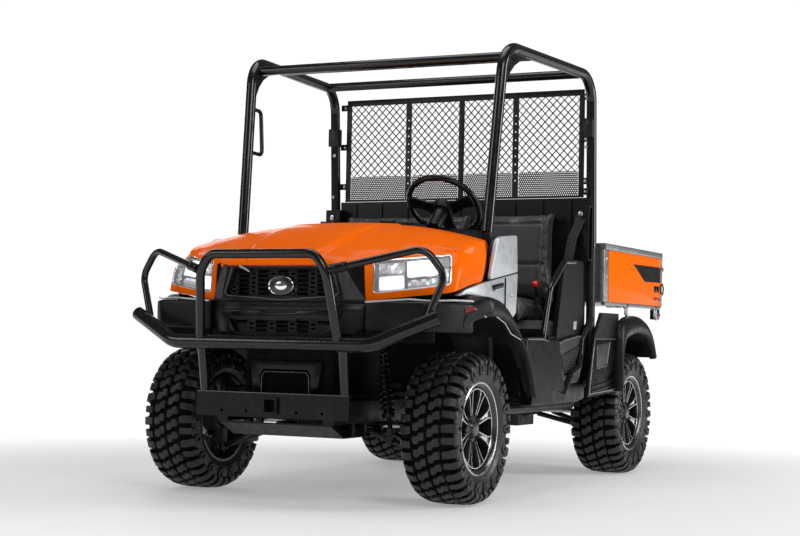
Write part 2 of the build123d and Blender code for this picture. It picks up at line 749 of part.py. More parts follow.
column_top = wheel_centre - wheel_axis * (hub_drop + 17 + seat_gap)
with BuildPart() as controls:
    rod(column_top, column_top - wheel_axis * 110, 32)
    cowl_form(Mode.SUBTRACT)
    rod((ahead(-640), 60, floor_z + seat_gap), (ahead(-640), 60, 900), 9)
    with Locations((ahead(-640), 60, 910)):
        Sphere(22)
    for y in (260, 400):
        pedal = ((-520, 520), (-445, 640), (-445, 655), (-530, 535))
        side_cut([(ahead(x), z) for x, z in pedal], y - 8, y + 8)
        block((ahead(-446), cab_front - 12.5), (y - 8, y + 8), (636, 655))
        block((ahead(-532), ahead(-516)), (y - 35, y + 35), (floor_z + 60, floor_z + 122))
save(controls, "controls")

# ---- Suspension and drive ----

arms = (  # height at the kingpin, then inner height, inner Y, bar's end each way, pivot's end each way, bar radius
    (upper_z, 460, 297, 28, 45, 12),
    (lower_z, 293.3, rail_y, 92, 131, 11),
)
rear_bars = (  # start X, Y and Z, then inner X, Y and Z, from the rear axle, then the rail's face
    ((20, 548, axle_z - 95), (120, rail_y, rail_low - 28), rail_low - seat_gap),
    ((-20, 548, axle_z - 95), (-120, rail_y, rail_low - 28), rail_low - seat_gap),
    ((-20, 548, axle_z + 95), (-80, rail_y, rail_high + 28), rail_high + seat_gap),
)
with BuildPart() as suspension:
    for side in (-1, 1):
        for z, inner_z, inner_y, reach, pivot_reach, radius in arms:
            kingpin = (front_axle_x, side * kingpin_y, z)
            rod((front_axle_x, side * kingpin_y, z - boss_half), (front_axle_x, side * kingpin_y, z + boss_half), 24)
            for way in (-1, 1):
                pivot = (ahead(way * reach), side * inner_y, inner_z)
                rod(kingpin, pivot, radius)
                tip = (ahead(way * pivot_reach), side * inner_y, inner_z)
                rod((ahead(way * (reach - 22)), side * inner_y, inner_z), tip, radius + 1)
            bore = (front_axle_x, side * kingpin_y, z - 24), (front_axle_x, side * kingpin_y, z + 24)
            rod(*bore, kingpin_radius + running_fit, Mode.SUBTRACT)
        for way in (-1, 1):
            bracket = sorted((ahead(way * 128), ahead(way * 148)))
            block(bracket, sorted((side * (rail_y - 14), side * (rail_y + 14))), (280, rail_low - seat_gap))
        block((ahead(66), ahead(88)), sorted((side * 335, side * 362)), (245, 281.7))
        rod((rear_axle_x, side * knuckle_y[0], axle_z), (rear_axle_x, side * knuckle_y[1], axle_z), 66)
        rod((rear_axle_x, side * knuckle_y[1], axle_z), (rear_axle_x, side * spindle_end, axle_z), spindle_radius)
        for up in (-1, 1):
            rod((rear_axle_x, side * 548, axle_z), (rear_axle_x, side * 548, axle_z + up * 105), 20)
        for start, end, face in rear_bars:
            start_point = (rear_axle_x + start[0], side * start[1], start[2])
            end_point = (rear_axle_x + end[0], side * end[1], end[2])
            rod(start_point, end_point, 13)
            rod((rear_axle_x, start_point[1], start[2]), start_point, 16)
            rod((*end_point[:2], end[2] - copysign(6, face - end[2])), (*end_point[:2], face), 15)
        block((rear_axle_x + 35, rear_axle_x + 65), sorted((side * 440, side * 535)), (345, 364.7))
save(suspension, "suspension_arms")

shocks = (  # top X, Y, Z and foot X, Y, Z, from the front axle, and the reach of the top eye along X or Y
    ((78, 285, 700), (75, 350, 294), "x"),
    ((50 - wheelbase, 345, 750), (50 - wheelbase, 455, 377), "y"),
)
with BuildPart() as springs:
    for side in (-1, 1):
        for top, foot, eye in shocks:
            head = Vector(ahead(top[0]), side * top[1], top[2])
            toe_end = Vector(ahead(foot[0]), side * foot[1], foot[2])
            rod(toe_end, head, 10)
            rod(toe_end + (head - toe_end) * 0.16, toe_end + (head - toe_end) * 0.88, 27)
            rod(toe_end - Vector(14, 0, 0), toe_end + Vector(14, 0, 0), 12)
            if eye == "x":
                rod(head - Vector(14, 0, 0), (ahead(111.7), side * top[1], top[2]), 14)
            else:
                rod((head.X, side * 330.3, head.Z), (head.X, side * 360, head.Z), 14)
save(springs, "shock_absorbers")

diff_half = 95
with BuildPart() as front_drive:
    block((ahead(-70), ahead(80)), (-diff_half, diff_half), (282, 400))
    block((ahead(-60), ahead(60)), (-rail_inside, rail_inside), (400, 412))
    rod((ahead(-69), 0, shaft_z), (ahead(-1479.7), 0, shaft_z), 14)
save(front_drive, "front_drive")

gear_half = 135
with BuildPart() as half_shafts:
    for side in (-1, 1):
        inner = side * (diff_half + seat_gap)
        rod((front_axle_x, inner, axle_z), (front_axle_x, side * kingpin_y, axle_z), 12)
        with Locations((front_axle_x, side * kingpin_y, axle_z)):
            Sphere(joint_ball)
        with Locations(Plane(origin=(front_axle_x, inner, axle_z), z_dir=(0, side, 0))):
            Cone(34, 18, 90, align=(Align.CENTER, Align.CENTER, Align.MIN))
        with Locations(Plane(origin=(front_axle_x, side * 420, axle_z), z_dir=(0, side, 0))):
            Cone(16, 34, 70, align=(Align.CENTER, Align.CENTER, Align.MIN))
        inner = side * (gear_half + seat_gap)
        rod((rear_axle_x, inner, axle_z), (rear_axle_x, side * (knuckle_y[0] - seat_gap), axle_z), 12)
        with Locations(Plane(origin=(rear_axle_x, inner, axle_z), z_dir=(0, side, 0))):
            Cone(40, 18, 80, align=(Align.CENTER, Align.CENTER, Align.MIN))
save(half_shafts, "half_shafts")

engine_rear = ahead(-1900)
with BuildPart() as engine:
    block((engine_rear, ahead(-1480)), (-205, 110), (300, 730))
    block((ahead(-1540), ahead(-1500)), (-rail_inside, rail_inside), (350, 380))
save(engine, "engine")

with BuildPart() as transaxle:
    block((rear_axle_x - 120, engine_rear - seat_gap), (-gear_half, gear_half), (230, 430))
save(transaxle, "transaxle")

muffler_x = rear_axle_x - 210
with BuildPart() as muffler:
    rod((muffler_x, -180, 560), (muffler_x, 150, 560), 75)
    rod((muffler_x, -150, 560), (engine_rear - seat_gap, -150, 560), 20)
save(muffler, "muffler")

# ---- Bed frame, bed, tailgate, lift cylinder ----

tower_x = (bed_hinge[0] - 28, bed_hinge[0] + 28)
front_tower_x = (rear_axle_x + 150, rear_axle_x + 200)
ear_y = (262, 288)
bed_pin = 12
with BuildPart() as bed_frame:
    for side in (-1, 1):
        rest_top = bed_floor_z - 62 - moving_gap
        block(tower_x, sorted((side * 292, side * 322)), (rail_low + 40, bed_hinge[1] + 18))
        block(tower_x, sorted((side * rail_outside, side * 322)), (rail_low + 10, rail_high))
        rod((bed_hinge[0], side * ear_y[0], bed_hinge[1]), (bed_hinge[0], side * 322, bed_hinge[1]), bed_pin)
        block(front_tower_x, sorted((side * rail_outside, side * 322)), (rail_low + 10, rail_high))
        block(front_tower_x, sorted((side * 292, side * 322)), (rail_low + 40, 775))
        block(front_tower_x, sorted((side * 265, side * 322)), (775, rest_top))
        block((tower_x[0], front_tower_x[1]), sorted((side * 300, side * 330)), (735, 765))
    foot_pin = (lift_foot[0], lift_y - 12, lift_foot[1]), (lift_foot[0], rail_inside, lift_foot[1])
    rod(*foot_pin, lift_pin)
    block((lift_foot[0] - 30, lift_foot[0] + 30), (206, rail_inside), (rail_low - 30, rail_low + 30))
save(bed_frame, "bed_frame")

wall_top = bed_rail_z - 30
pillar_x = (bed_front - 56, bed_front + 13)
panel_x = (bed_rear + 5, pillar_x[0] - 1)
with BuildPart() as bed:
    block((panel_x[0], bed_front), (-bed_inner_half, bed_inner_half), (bed_floor_z - 8, bed_floor_z))
    block((bed_front - 5, bed_front), (-bed_inner_half, bed_inner_half), (bed_floor_z - 8, wall_top))
    for side in (-1, 1):
        wall = sorted((side * (bed_inner_half - 4), side * bed_inner_half))
        block((panel_x[0], bed_front), wall, (bed_floor_z - 8, wall_top))
        ear = sorted((side * y for y in ear_y))
        block((bed_rear + 40, bed_front - 40), ear, (bed_floor_z - 62, bed_floor_z - 8))
        hanger = (
            (bed_hinge[0] - 30, bed_floor_z - 60),
            (bed_hinge[0] - 24, bed_hinge[1] - 24),
            (bed_hinge[0] + 24, bed_hinge[1] - 24),
            (bed_hinge[0] + 90, bed_floor_z - 60),
        )
        side_cut(hanger, *ear)
        bore = (bed_hinge[0], ear[0] - 5, bed_hinge[1]), (bed_hinge[0], ear[1] + 5, bed_hinge[1])
        rod(*bore, bed_pin + running_fit, Mode.SUBTRACT)
        clevis = sorted((lift_y + side * 16, lift_y + side * 26))
        block((lift_eye[0] - 34, lift_eye[0] + 34), clevis, (lift_eye[1] - 14, bed_floor_z - 8))
    for x in (bed_rear + 60, bed_front - 60):
        block((x - 20, x + 20), (-ear_y[0], ear_y[0]), (bed_floor_z - 48, bed_floor_z - 8))
    for y in (-500, 500):
        for way in (-1, 1):
            cheek = sorted((y + way * 24, y + way * 34))
            block((gate_hinge[0] - 8, bed_rear + 30), cheek, (gate_hinge[1] - 10, bed_floor_z - 8))
            block((gate_hinge[0] - 8, gate_hinge[0] + 8), cheek, (gate_hinge[1] - 10, gate_hinge[1] + 4))
        rod((gate_hinge[0], y - 30, gate_hinge[1]), (gate_hinge[0], y + 30, gate_hinge[1]), gate_pin)
save(bed, "bed_tub")

decal_z = (bed_rail_z - 190, bed_rail_z - 90)
with BuildPart() as bed_panels:
    for side in (-1, 1):
        outline = (
            (panel_x[0], bed_floor_z - 5),
            (panel_x[0], wall_top),
            (panel_x[1], wall_top),
            (panel_x[1], bed_floor_z + 60),
            (panel_x[1] - 25, bed_floor_z - 5),
        )
        side_cut(outline, *sorted((side * bed_inner_half, side * bed_half)))
        decal = (
            (panel_x[0] + 60, decal_z[0]),
            (panel_x[0] + 60, decal_z[1]),
            (panel_x[0] + 600, decal_z[1]),
            (panel_x[0] + 520, decal_z[0]),
        )
        side_cut(decal, *sorted((side * (bed_half - 3), side * (bed_half + 1))), Mode.SUBTRACT)
save(bed_panels, "bed_side_panels")

with BuildPart() as bed_rails:
    for side in (-1, 1):
        cap = sorted((side * (bed_inner_half - 12), side * (bed_half + 8)))
        block((panel_x[0], pillar_x[1]), cap, (wall_top, bed_rail_z))
        post = sorted((side * bed_inner_half, side * bed_half))
        block(pillar_x, post, (bed_floor_z - 5, wall_top))
    block((bed_front - 17, pillar_x[1]), (-bed_inner_half, bed_inner_half), (wall_top, bed_rail_z))
save(bed_rails, "bed_rails")

gate_low = bed_floor_z + 5
gate_x = (bed_rear - 5 - gate_thickness, bed_rear - 5)
with BuildPart() as gate:
    block(gate_x, (-bed_inner_half, bed_inner_half), (gate_low, wall_top))
    for z in (gate_low + 40, gate_low + 140):
        block((gate_x[0] - 1, gate_x[0] + 5), (-600, 600), (z, z + 60), Mode.SUBTRACT)
    for y in (-500, 500):
        knuckle_ends = (gate_hinge[0], y - 18, gate_hinge[1]), (gate_hinge[0], y + 18, gate_hinge[1])
        rod(*knuckle_ends, 9)
        block((gate_hinge[0] - 7, gate_hinge[0] + 7), (y - 18, y + 18), (gate_hinge[1], gate_low + 8))
        bore = (gate_hinge[0], y - 22, gate_hinge[1]), (gate_hinge[0], y + 22, gate_hinge[1])
        rod(*bore, gate_pin + running_fit, Mode.SUBTRACT)
save(gate, "tailgate")

lift_start = Vector(lift_foot[0], lift_y, lift_foot[1])
lift_end = Vector(lift_eye[0], lift_y, lift_eye[1])
lift_way = (lift_end - lift_start).normalized()
barrel_top = lift_start + lift_way * (16 + barrel_length)
with BuildPart() as barrel:
    rod(lift_start + lift_way * 16, barrel_top, barrel_radius)
    rod((lift_foot[0], lift_y - 12, lift_foot[1]), (lift_foot[0], lift_y + 12, lift_foot[1]), 20)
    rod(lift_start + lift_way * 50, barrel_top + lift_way * 5, rod_radius + running_fit, Mode.SUBTRACT)
    bore = (lift_foot[0], lift_y - 30, lift_foot[1]), (lift_foot[0], lift_y + 30, lift_foot[1])
    rod(*bore, lift_pin + running_fit, Mode.SUBTRACT)
save(barrel, "lift_barrel")

with BuildPart() as lift_rod:
    rod(lift_start + lift_way * 60, lift_end, rod_radius)
    rod((lift_eye[0], lift_y - 10, lift_eye[1]), (lift_eye[0], lift_y + 10, lift_eye[1]), 18)
save(lift_rod, "lift_rod")

# ---- Rear hitch, lamps, grab tubes, rear screen ----

hitch_rear = rear_axle_x - rear_reach
with BuildPart() as hitch:
    block((hitch_rear + 30, rail_rear), (-rail_outside, rail_outside), (352, 410))
    block((hitch_rear, rail_rear + 1), (-33, 33), (367, 433))
    socket = (-receiver / 2, receiver / 2)
    block((hitch_rear - 1, rail_rear + 2), socket, (400 - receiver / 2, 400 + receiver / 2), Mode.SUBTRACT)
    for side in (-1, 1):
        block((hitch_rear + 30, rail_rear), sorted((side * rail_outside, side * 560)), (380, 410))
        block((hitch_rear + 30, hitch_rear + 42), sorted((side * 480, side * 620)), (405, 640))
save(hitch, "rear_hitch")

with BuildPart() as tail_lamps:
    for side in (-1, 1):
        block((hitch_rear + 6, hitch_rear + 30), sorted((side * 500, side * 600)), (560, 630))
save(tail_lamps, "tail_lamps")

grab_x = ahead(-430)
guard_tube = 14
guard_wall_y = side_panel_y + guard_tube + seat_gap
with BuildPart() as grab_tubes:
    handle = ((grab_x + 50, -644, 1759), (grab_x - 50, -652, 1759), (grab_x - 70, -652, 1551), (grab_x + 70, -640, 1551))
    tube(handle, 10, 28)
    cage_post(front_path, -1, Mode.SUBTRACT)
    guard = ((-1120, guard_wall_y, 1062), (-944, 735, 1056), (-758, 740, 930), (-672, 740, 712), (-668, 740, 460.6))
    for side in (-1, 1):
        tube([(ahead(x), side * y, z) for x, y, z in guard], guard_tube, (70, 70, 110))
save(grab_tubes, "grab_tubes")

screen_z = (1399, 1938)
screen_x = (ahead(-1399), ahead(-1391))
screen_half = 664
mesh_z = (screen_z[0] + 130, screen_z[1] - 30)
with BuildPart() as screen:
    block(screen_x, (-screen_half, screen_half), screen_z)
    for ys in ((-634, -336), (-304, -16), (16, 304), (336, 634)):
        block(screen_x, ys, mesh_z, Mode.SUBTRACT)
        block((screen_x[0] + 3, screen_x[1] - 3), ys, mesh_z)
    for side in (-1, 1):
        for z in (1450, 1880):
            block((screen_x[0], ahead(-1372)), sorted((side * (screen_half - 2), side * 705)), (z - 15, z + 15))
        cage_post(rear_path, side, Mode.SUBTRACT)
save(screen, "rear_screen")
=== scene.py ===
import json
from math import atan2, copysign, cos, degrees, exp, hypot, pi, radians, sin, sqrt, tan, tau

import bmesh
import bpy
from mathutils import Matrix, Vector
from mathutils.bvhtree import BVHTree

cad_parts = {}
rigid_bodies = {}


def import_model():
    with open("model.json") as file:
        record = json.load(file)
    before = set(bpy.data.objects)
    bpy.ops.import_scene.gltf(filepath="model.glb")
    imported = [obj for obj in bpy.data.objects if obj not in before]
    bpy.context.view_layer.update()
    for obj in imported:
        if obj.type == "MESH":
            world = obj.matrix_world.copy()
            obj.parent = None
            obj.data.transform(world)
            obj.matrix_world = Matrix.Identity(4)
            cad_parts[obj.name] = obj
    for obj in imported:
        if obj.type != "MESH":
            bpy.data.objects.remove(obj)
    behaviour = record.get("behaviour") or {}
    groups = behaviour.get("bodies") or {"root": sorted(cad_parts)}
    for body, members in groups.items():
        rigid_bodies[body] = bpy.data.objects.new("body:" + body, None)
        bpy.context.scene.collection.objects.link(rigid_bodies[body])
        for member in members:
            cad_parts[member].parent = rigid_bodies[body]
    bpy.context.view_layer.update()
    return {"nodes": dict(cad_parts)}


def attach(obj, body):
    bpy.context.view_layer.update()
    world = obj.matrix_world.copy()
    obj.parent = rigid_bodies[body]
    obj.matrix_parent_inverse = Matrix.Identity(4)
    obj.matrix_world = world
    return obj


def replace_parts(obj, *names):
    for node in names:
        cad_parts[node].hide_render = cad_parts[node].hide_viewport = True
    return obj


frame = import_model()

nodes = frame["nodes"]

# Places are given in millimetres from the front axle: ahead of it, to the left, and up from the ground.
frontAxle = 923
wheelbase = 2010
sides = ((1, "left"), (-1, "right"))


def at(ahead, left, up):
    return Vector((frontAxle + ahead, left, up)) / 1000


# finishes

def shaderOf(material):
    return material.node_tree.nodes["Principled BSDF"]


def texturePlace(material, stretch=(1, 1, 1)):
    tree = material.node_tree
    place = tree.nodes.new("ShaderNodeTexCoord")
    mapping = tree.nodes.new("ShaderNodeMapping")
    mapping.inputs["Scale"].default_value = stretch
    tree.links.new(place.outputs["Object"], mapping.inputs["Vector"])
    return mapping.outputs["Vector"]


def noiseInto(material, scale, detail=3, stretch=(1, 1, 1)):
    noise = material.node_tree.nodes.new("ShaderNodeTexNoise")
    noise.inputs["Scale"].default_value = scale
    noise.inputs["Detail"].default_value = detail
    material.node_tree.links.new(texturePlace(material, stretch), noise.inputs["Vector"])
    return noise.outputs["Fac"]


def cellsInto(material, scale, stretch=(1, 1, 1)):
    cells = material.node_tree.nodes.new("ShaderNodeTexVoronoi")
    cells.inputs["Scale"].default_value = scale
    material.node_tree.links.new(texturePlace(material, stretch), cells.inputs["Vector"])
    return cells


def rampBetween(material, source, low, high, stops=(0.35, 0.65)):
    ramp = material.node_tree.nodes.new("ShaderNodeValToRGB")
    ramp.color_ramp.elements[0].position = stops[0]
    ramp.color_ramp.elements[1].position = stops[1]
    ramp.color_ramp.elements[0].color = (*low, 1)
    ramp.color_ramp.elements[1].color = (*high, 1)
    material.node_tree.links.new(source, ramp.inputs["Fac"])
    return ramp.outputs["Color"]


def bumpFrom(material, source, strength, depth, under=None):
    bump = material.node_tree.nodes.new("ShaderNodeBump")
    bump.inputs["Strength"].default_value = strength
    bump.inputs["Distance"].default_value = depth
    material.node_tree.links.new(source, bump.inputs["Height"])
    if under is not None:
        material.node_tree.links.new(under, bump.inputs["Normal"])
    material.node_tree.links.new(bump.outputs["Normal"], shaderOf(material).inputs["Normal"])
    return bump.outputs["Normal"]


def finish(name, colour, rough, metal=0.0, coat=0.0, coatRough=0.1, spread=0.12, patch=9.0, grain=400.0,
           grainDepth=0.0002, grainStrength=0.3, roughSpread=0.08, alpha=1.0, sheen=0.0, specular=0.5):
    # one painted, moulded or bare finish: mottled colour, uneven gloss and a fine grain
    material = bpy.data.materials.new(name)
    material.use_nodes = True
    shader = shaderOf(material)
    shader.inputs["Metallic"].default_value = metal
    shader.inputs["Coat Weight"].default_value = coat
    shader.inputs["Coat Roughness"].default_value = coatRough
    shader.inputs["Sheen Weight"].default_value = sheen
    shader.inputs["Alpha"].default_value = alpha
    shader.inputs["Specular IOR Level"].default_value = specular
    mottle = noiseInto(material, patch, 5)
    low = [c * (1 - spread) for c in colour]
    high = [min(1, c * (1 + spread)) for c in colour]
    material.node_tree.links.new(rampBetween(material, mottle, low, high), shader.inputs["Base Color"])
    gloss = rampBetween(material, noiseInto(material, patch * 3, 4), [rough - roughSpread] * 3,
                        [rough + roughSpread] * 3)
    material.node_tree.links.new(gloss, shader.inputs["Roughness"])
    if grainStrength:
        bumpFrom(material, noiseInto(material, grain, 2), grainStrength, grainDepth)
    return material


orangePaint = finish("orangePaint", (0.95, 0.145, 0.0), 0.4, coat=0.16, specular=0.02, coatRough=0.08,
    spread=0.03, patch=4, grain=2200, grainDepth=0.00002, grainStrength=0.1)
tubeBlack = finish("tubeBlack", (0.004, 0.004, 0.0045), 0.24, coat=0.5, coatRough=0.09, specular=0.2,
                   spread=0.25, grain=1400, grainDepth=0.00005, grainStrength=0.2)
frameBlack = finish("frameBlack", (0.005, 0.005, 0.0055), 0.4, specular=0.34, spread=0.3, grain=700,
                    grainStrength=0.25)
mouldedBlack = finish("mouldedBlack", (0.005, 0.005, 0.0055), 0.38, specular=0.24, spread=0.2, grain=1500,
    grainDepth=0.00025, grainStrength=0.5)
# lighter glossy grey: a painted highlight on the rims, lips and edges of black parts
paintedHighlightGrey = finish("paintedHighlightGrey", (0.06, 0.06, 0.063), 0.22, coat=0.6, coatRough=0.12, spread=0.15, grain=1500,
                  grainDepth=0.00005, grainStrength=0.15)
# near-black with little gloss: painted shade for parts that sit in shadow, such as the radiator, the plates
# behind the grille, the apron and the tyres' groove floors
paintedShadeBlack = finish("paintedShadeBlack", (0.002, 0.002, 0.0022), 0.7, specular=0.1, spread=0.3, grain=500,
                   grainStrength=0.4)
satinBlack = finish("satinBlack", (0.005, 0.005, 0.0055), 0.26, specular=0.24, spread=0.2, grain=1500,
                    grainDepth=0.0001, grainStrength=0.25)
mouldedGrey = finish("mouldedGrey", (0.03, 0.031, 0.033), 0.42, spread=0.15, grain=1300, grainStrength=0.4)
silverPaint = finish("silverPaint", (0.52, 0.54, 0.56), 0.36, metal=0.35, coat=0.2, spread=0.06, grain=1800,
    grainDepth=0.00005, grainStrength=0.15)
brightSteel = finish("brightSteel", (0.55, 0.55, 0.56), 0.25, metal=1.0, spread=0.1, grain=600,
    grainDepth=0.0001)
castDark = finish("castDark", (0.05, 0.05, 0.052), 0.6, metal=0.6, spread=0.25, grain=500,
                  grainDepth=0.0006)
chrome = finish("chrome", (0.86, 0.87, 0.88), 0.07, metal=1.0, spread=0.03, grainStrength=0,
                roughSpread=0.03)
machinedAlloy = finish("machinedAlloy", (0.78, 0.79, 0.8), 0.26, metal=1.0, spread=0.06, grain=900,
    grainDepth=0.00005, roughSpread=0.06)
wheelBlack = finish("wheelBlack", (0.012, 0.012, 0.013), 0.28, coat=0.4, spread=0.2, grain=900,
                    grainDepth=0.00005)
knobRed = finish("knobRed", (0.75, 0.012, 0.008), 0.3, coat=0.3, spread=0.08, grain=300, grainDepth=0.0001)
lampRed = finish("lampRed", (0.22, 0.006, 0.006), 0.2, coat=0.6, spread=0.1, grain=300, grainDepth=0.0003)
buckleOrange = finish("buckleOrange", (0.8, 0.12, 0.02), 0.4, spread=0.08)
lampClear = finish("lampClear", (0.95, 0.97, 1.0), 0.06, coat=0.5, coatRough=0.03, spread=0.01,
                   grainStrength=0, roughSpread=0.02, alpha=0.16)


def glowing(name, colour, strength):
    material = finish(name, colour, 0.2, spread=0.03, grainStrength=0)
    shaderOf(material).inputs["Emission Color"].default_value = (*colour, 1)
    shaderOf(material).inputs["Emission Strength"].default_value = strength
    return material


lampGlow = glowing("lampGlow", (1.0, 0.99, 0.96), 3.2)
# these two glow as a painted reflection in the lamp's reflectors, not as light sources
paintedReflectionBowl = glowing("paintedReflectionBowl", (0.93, 0.94, 0.96), 0.6)
paintedReflectionFacets = glowing("paintedReflectionFacets", (0.82, 0.84, 0.87), 0.22)
shaderOf(paintedReflectionFacets).inputs["Metallic"].default_value = 0.9

zincSheet = finish("zincSheet", (0.2, 0.215, 0.225), 0.38, metal=0.85, patch=30, grain=1200)
spangle = cellsInto(zincSheet, 60)
bumpFrom(zincSheet, spangle.outputs["Distance"], 0.12, 0.0004)
zincSheet.node_tree.links.new(
    rampBetween(zincSheet, spangle.outputs["Color"], (0.27, 0.29, 0.305), (0.45, 0.475, 0.49), (0.1, 0.9)),
    shaderOf(zincSheet).inputs["Base Color"])

tyreRubber = finish("tyreRubber", (0.012, 0.0118, 0.0115), 0.44, spread=0.3, patch=14, grain=500,
                    grainDepth=0.0005, grainStrength=0.4)
treadRubber = finish("treadRubber", (0.0105, 0.0104, 0.0102), 0.5, spread=0.35, patch=20, grain=500,
    grainDepth=0.0006, grainStrength=0.5)
seatCover = finish("seatCover", (0.03, 0.031, 0.033), 0.42, spread=0.14, patch=12, grain=500, sheen=0.15)
bumpFrom(seatCover, cellsInto(seatCover, 420).outputs["Distance"], 0.5, 0.0006,
         bumpFrom(seatCover, noiseInto(seatCover, 900, 3), 0.25, 0.0002))
seatThread = finish("seatThread", (0.10, 0.10, 0.105), 0.8, spread=0.2, grain=2000)
beltWeb = finish("beltWeb", (0.012, 0.012, 0.013), 0.85, spread=0.2, grain=300, sheen=0.3)
bumpFrom(beltWeb, noiseInto(beltWeb, 1500, 2, (1, 1, 0.25)), 0.6, 0.0006)


# making pieces

def pieceFrom(name, mesh, material, body="chassis"):
    # a piece rides on the chassis, or on the body named, and takes its finish, or each finish of a list
    piece = bpy.data.objects.new(name, mesh)
    bpy.context.scene.collection.objects.link(piece)
    finishes = material if isinstance(material, (list, tuple)) else [material]
    for finishUsed in finishes:
        mesh.materials.append(finishUsed)
    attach(piece, body)
    return piece


def meshFrom(name, points, faces, smooth=True):
    mesh = bpy.data.meshes.new(name)
    mesh.from_pydata([tuple(p) for p in points], [], faces)
    shape = bmesh.new()
    shape.from_mesh(mesh)
    bmesh.ops.recalc_face_normals(shape, faces=shape.faces)
    shape.to_mesh(mesh)
    shape.free()
    mesh.polygons.foreach_set("use_smooth", [smooth] * len(mesh.polygons))
    return mesh


def meshOf(name, shape, smooth=True):
    bmesh.ops.recalc_face_normals(shape, faces=shape.faces)
    mesh = bpy.data.meshes.new(name)
    shape.to_mesh(mesh)
    shape.free()
    mesh.polygons.foreach_set("use_smooth", [smooth] * len(mesh.polygons))
    return mesh


def skinned(shape, rings, closed=True):
    # faces between each two neighbouring rows of points
    for near, far in zip(rings, rings[1:]):
        count = len(near)
        for k in range(count if closed else count - 1):
            shape.faces.new((near[k], near[(k + 1) % count], far[(k + 1) % count], far[k]))


def prism(name, near, far):
    # a solid between two like outlines
    count = len(near)
    faces = [list(range(count)), [2 * count - 1 - k for k in range(count)]]
    faces += [[k, (k + 1) % count, count + (k + 1) % count, count + k] for k in range(count)]
    return meshFrom(name, near + far, faces, False)


def onSide(side, points):
    return [(x, side * y, z) for x, y, z in points]


def applyAll(piece):
    # leaves the piece as plain mesh, with nothing still to work out
    depsgraph = bpy.context.evaluated_depsgraph_get()
    made = bpy.data.meshes.new_from_object(piece.evaluated_get(depsgraph))
    old = piece.data
    piece.modifiers.clear()
    piece.data = made
    bpy.data.meshes.remove(old)
    return piece


def sharpBy(mesh, angle=32):
    # creases stay crisp where faces meet at more than this angle
    shape = bmesh.new()
    shape.from_mesh(mesh)
    for edge in shape.edges:
        edge.smooth = len(edge.link_faces) == 2 and edge.calc_face_angle(0) < radians(angle)
    shape.to_mesh(mesh)
    shape.free()
    mesh.polygons.foreach_set("use_smooth", [True] * len(mesh.polygons))


def thickened(piece, wall, offset=-1, crease=36):
    # a sheet gets its wall, and creases above an angle unless that is left out
    thicken = piece.modifiers.new("wall", "SOLIDIFY")
    thicken.thickness = wall / 1000
    thicken.offset = offset
    applyAll(piece)
    if crease:
        sharpBy(piece.data, crease)
    return piece


def bevelled(piece, width, segments=2, angle=30):
    bevel = piece.modifiers.new("edges", "BEVEL")
    bevel.width = width / 1000
    bevel.segments = segments
    bevel.limit_method = "ANGLE"
    bevel.angle_limit = radians(angle)
    bevel.harden_normals = False
    applyAll(piece)
    sharpBy(piece.data, 35)
    return piece


def slab(name, outline, span, across, material, bevel=3, segments=2, body="chassis"):
    # a flat outline in millimetres, drawn out between two values across "X", "Y" or "Z"
    low, high = sorted(span)
    place = {"X": lambda a, b, c: at(c, a, b), "Y": lambda a, b, c: at(a, c, b), "Z": at}[across]
    mesh = prism(name, [place(a, b, low) for a, b in outline], [place(a, b, high) for a, b in outline])
    piece = pieceFrom(name, mesh, material, body)
    return bevelled(piece, bevel, segments) if bevel else piece


def brick(name, aheads, lefts, ups, material, bevel=3, segments=2, body="chassis"):
    outline = ((aheads[0], ups[0]), (aheads[1], ups[0]), (aheads[1], ups[1]), (aheads[0], ups[1]))
    return slab(name, outline, lefts, "Y", material, bevel, segments, body)


def roundedPath(points, bend):
    # straight runs joined by arcs
    points = [Vector(p) for p in points]
    bends = bend if isinstance(bend, (list, tuple)) else [bend] * (len(points) - 2)
    path = [points[0]]
    for before, corner, after, radius in zip(points, points[1:], points[2:], bends):
        inward, outward = (before - corner).normalized(), (after - corner).normalized()
        half = inward.angle(outward) / 2
        if half > radians(88):
            path.append(corner)
            continue
        reach = min(radius / tan(half), 0.48 * (before - corner).length, 0.48 * (after - corner).length)
        radius = reach * tan(half)
        middle = corner + (inward + outward).normalized() * radius / sin(half)
        start, end = corner + inward * reach - middle, corner + outward * reach - middle
        steps = max(3, int(degrees(start.angle(end)) / 9))
        path += [middle + start.slerp(end, k / steps) for k in range(steps + 1)]
    return path + [points[-1]]


def tubeMesh(name, path, radius, around=20, closed=False):
    # a round bar along a path of points in millimetres; radius is one value or one for each point
    path = [Vector(p) for p in path]
    radii = radius if isinstance(radius, (list, tuple)) else [radius] * len(path)
    points, faces, side = [], [], None
    for k, (spot, size) in enumerate(zip(path, radii)):
        before = path[k - 1] if k or closed else spot
        after = path[(k + 1) % len(path)] if k + 1 < len(path) or closed else spot
        forward = (after - before).normalized()
        if side is None:
            side = forward.orthogonal().normalized()
        side = (side - forward * side.dot(forward)).normalized()
        other = forward.cross(side)
        for j in range(around):
            turn = tau * j / around
            points.append(at(*(spot + (side * cos(turn) + other * sin(turn)) * size)))
    rings = len(path)
    for k in range(rings if closed else rings - 1):
        for j in range(around):
            a, b = k * around, (k + 1) % rings * around
            faces.append([a + j, a + (j + 1) % around, b + (j + 1) % around, b + j])
    if not closed:
        faces += [list(range(around)), list(range((rings - 1) * around, rings * around))]
    mesh = meshFrom(name, points, faces)
    sharpBy(mesh, 50)
    return mesh


def bar(name, points, radius, bend, material, around=20, body="chassis"):
    return pieceFrom(name, tubeMesh(name, roundedPath(points, bend), radius, around), material, body)


def hoopBar(name, path, radius, around, material, body="chassis"):
    # a round bar that closes on itself
    return pieceFrom(name, tubeMesh(name, path, radius, around, True), material, body)


def joined(name, parts, material, body="chassis"):
    # several small meshes as one piece
    shape = bmesh.new()
    for part in parts:
        shape.from_mesh(part)
        bpy.data.meshes.remove(part)
    mesh = bpy.data.meshes.new(name)
    shape.to_mesh(mesh)
    shape.free()
    return pieceFrom(name, mesh, material, body)


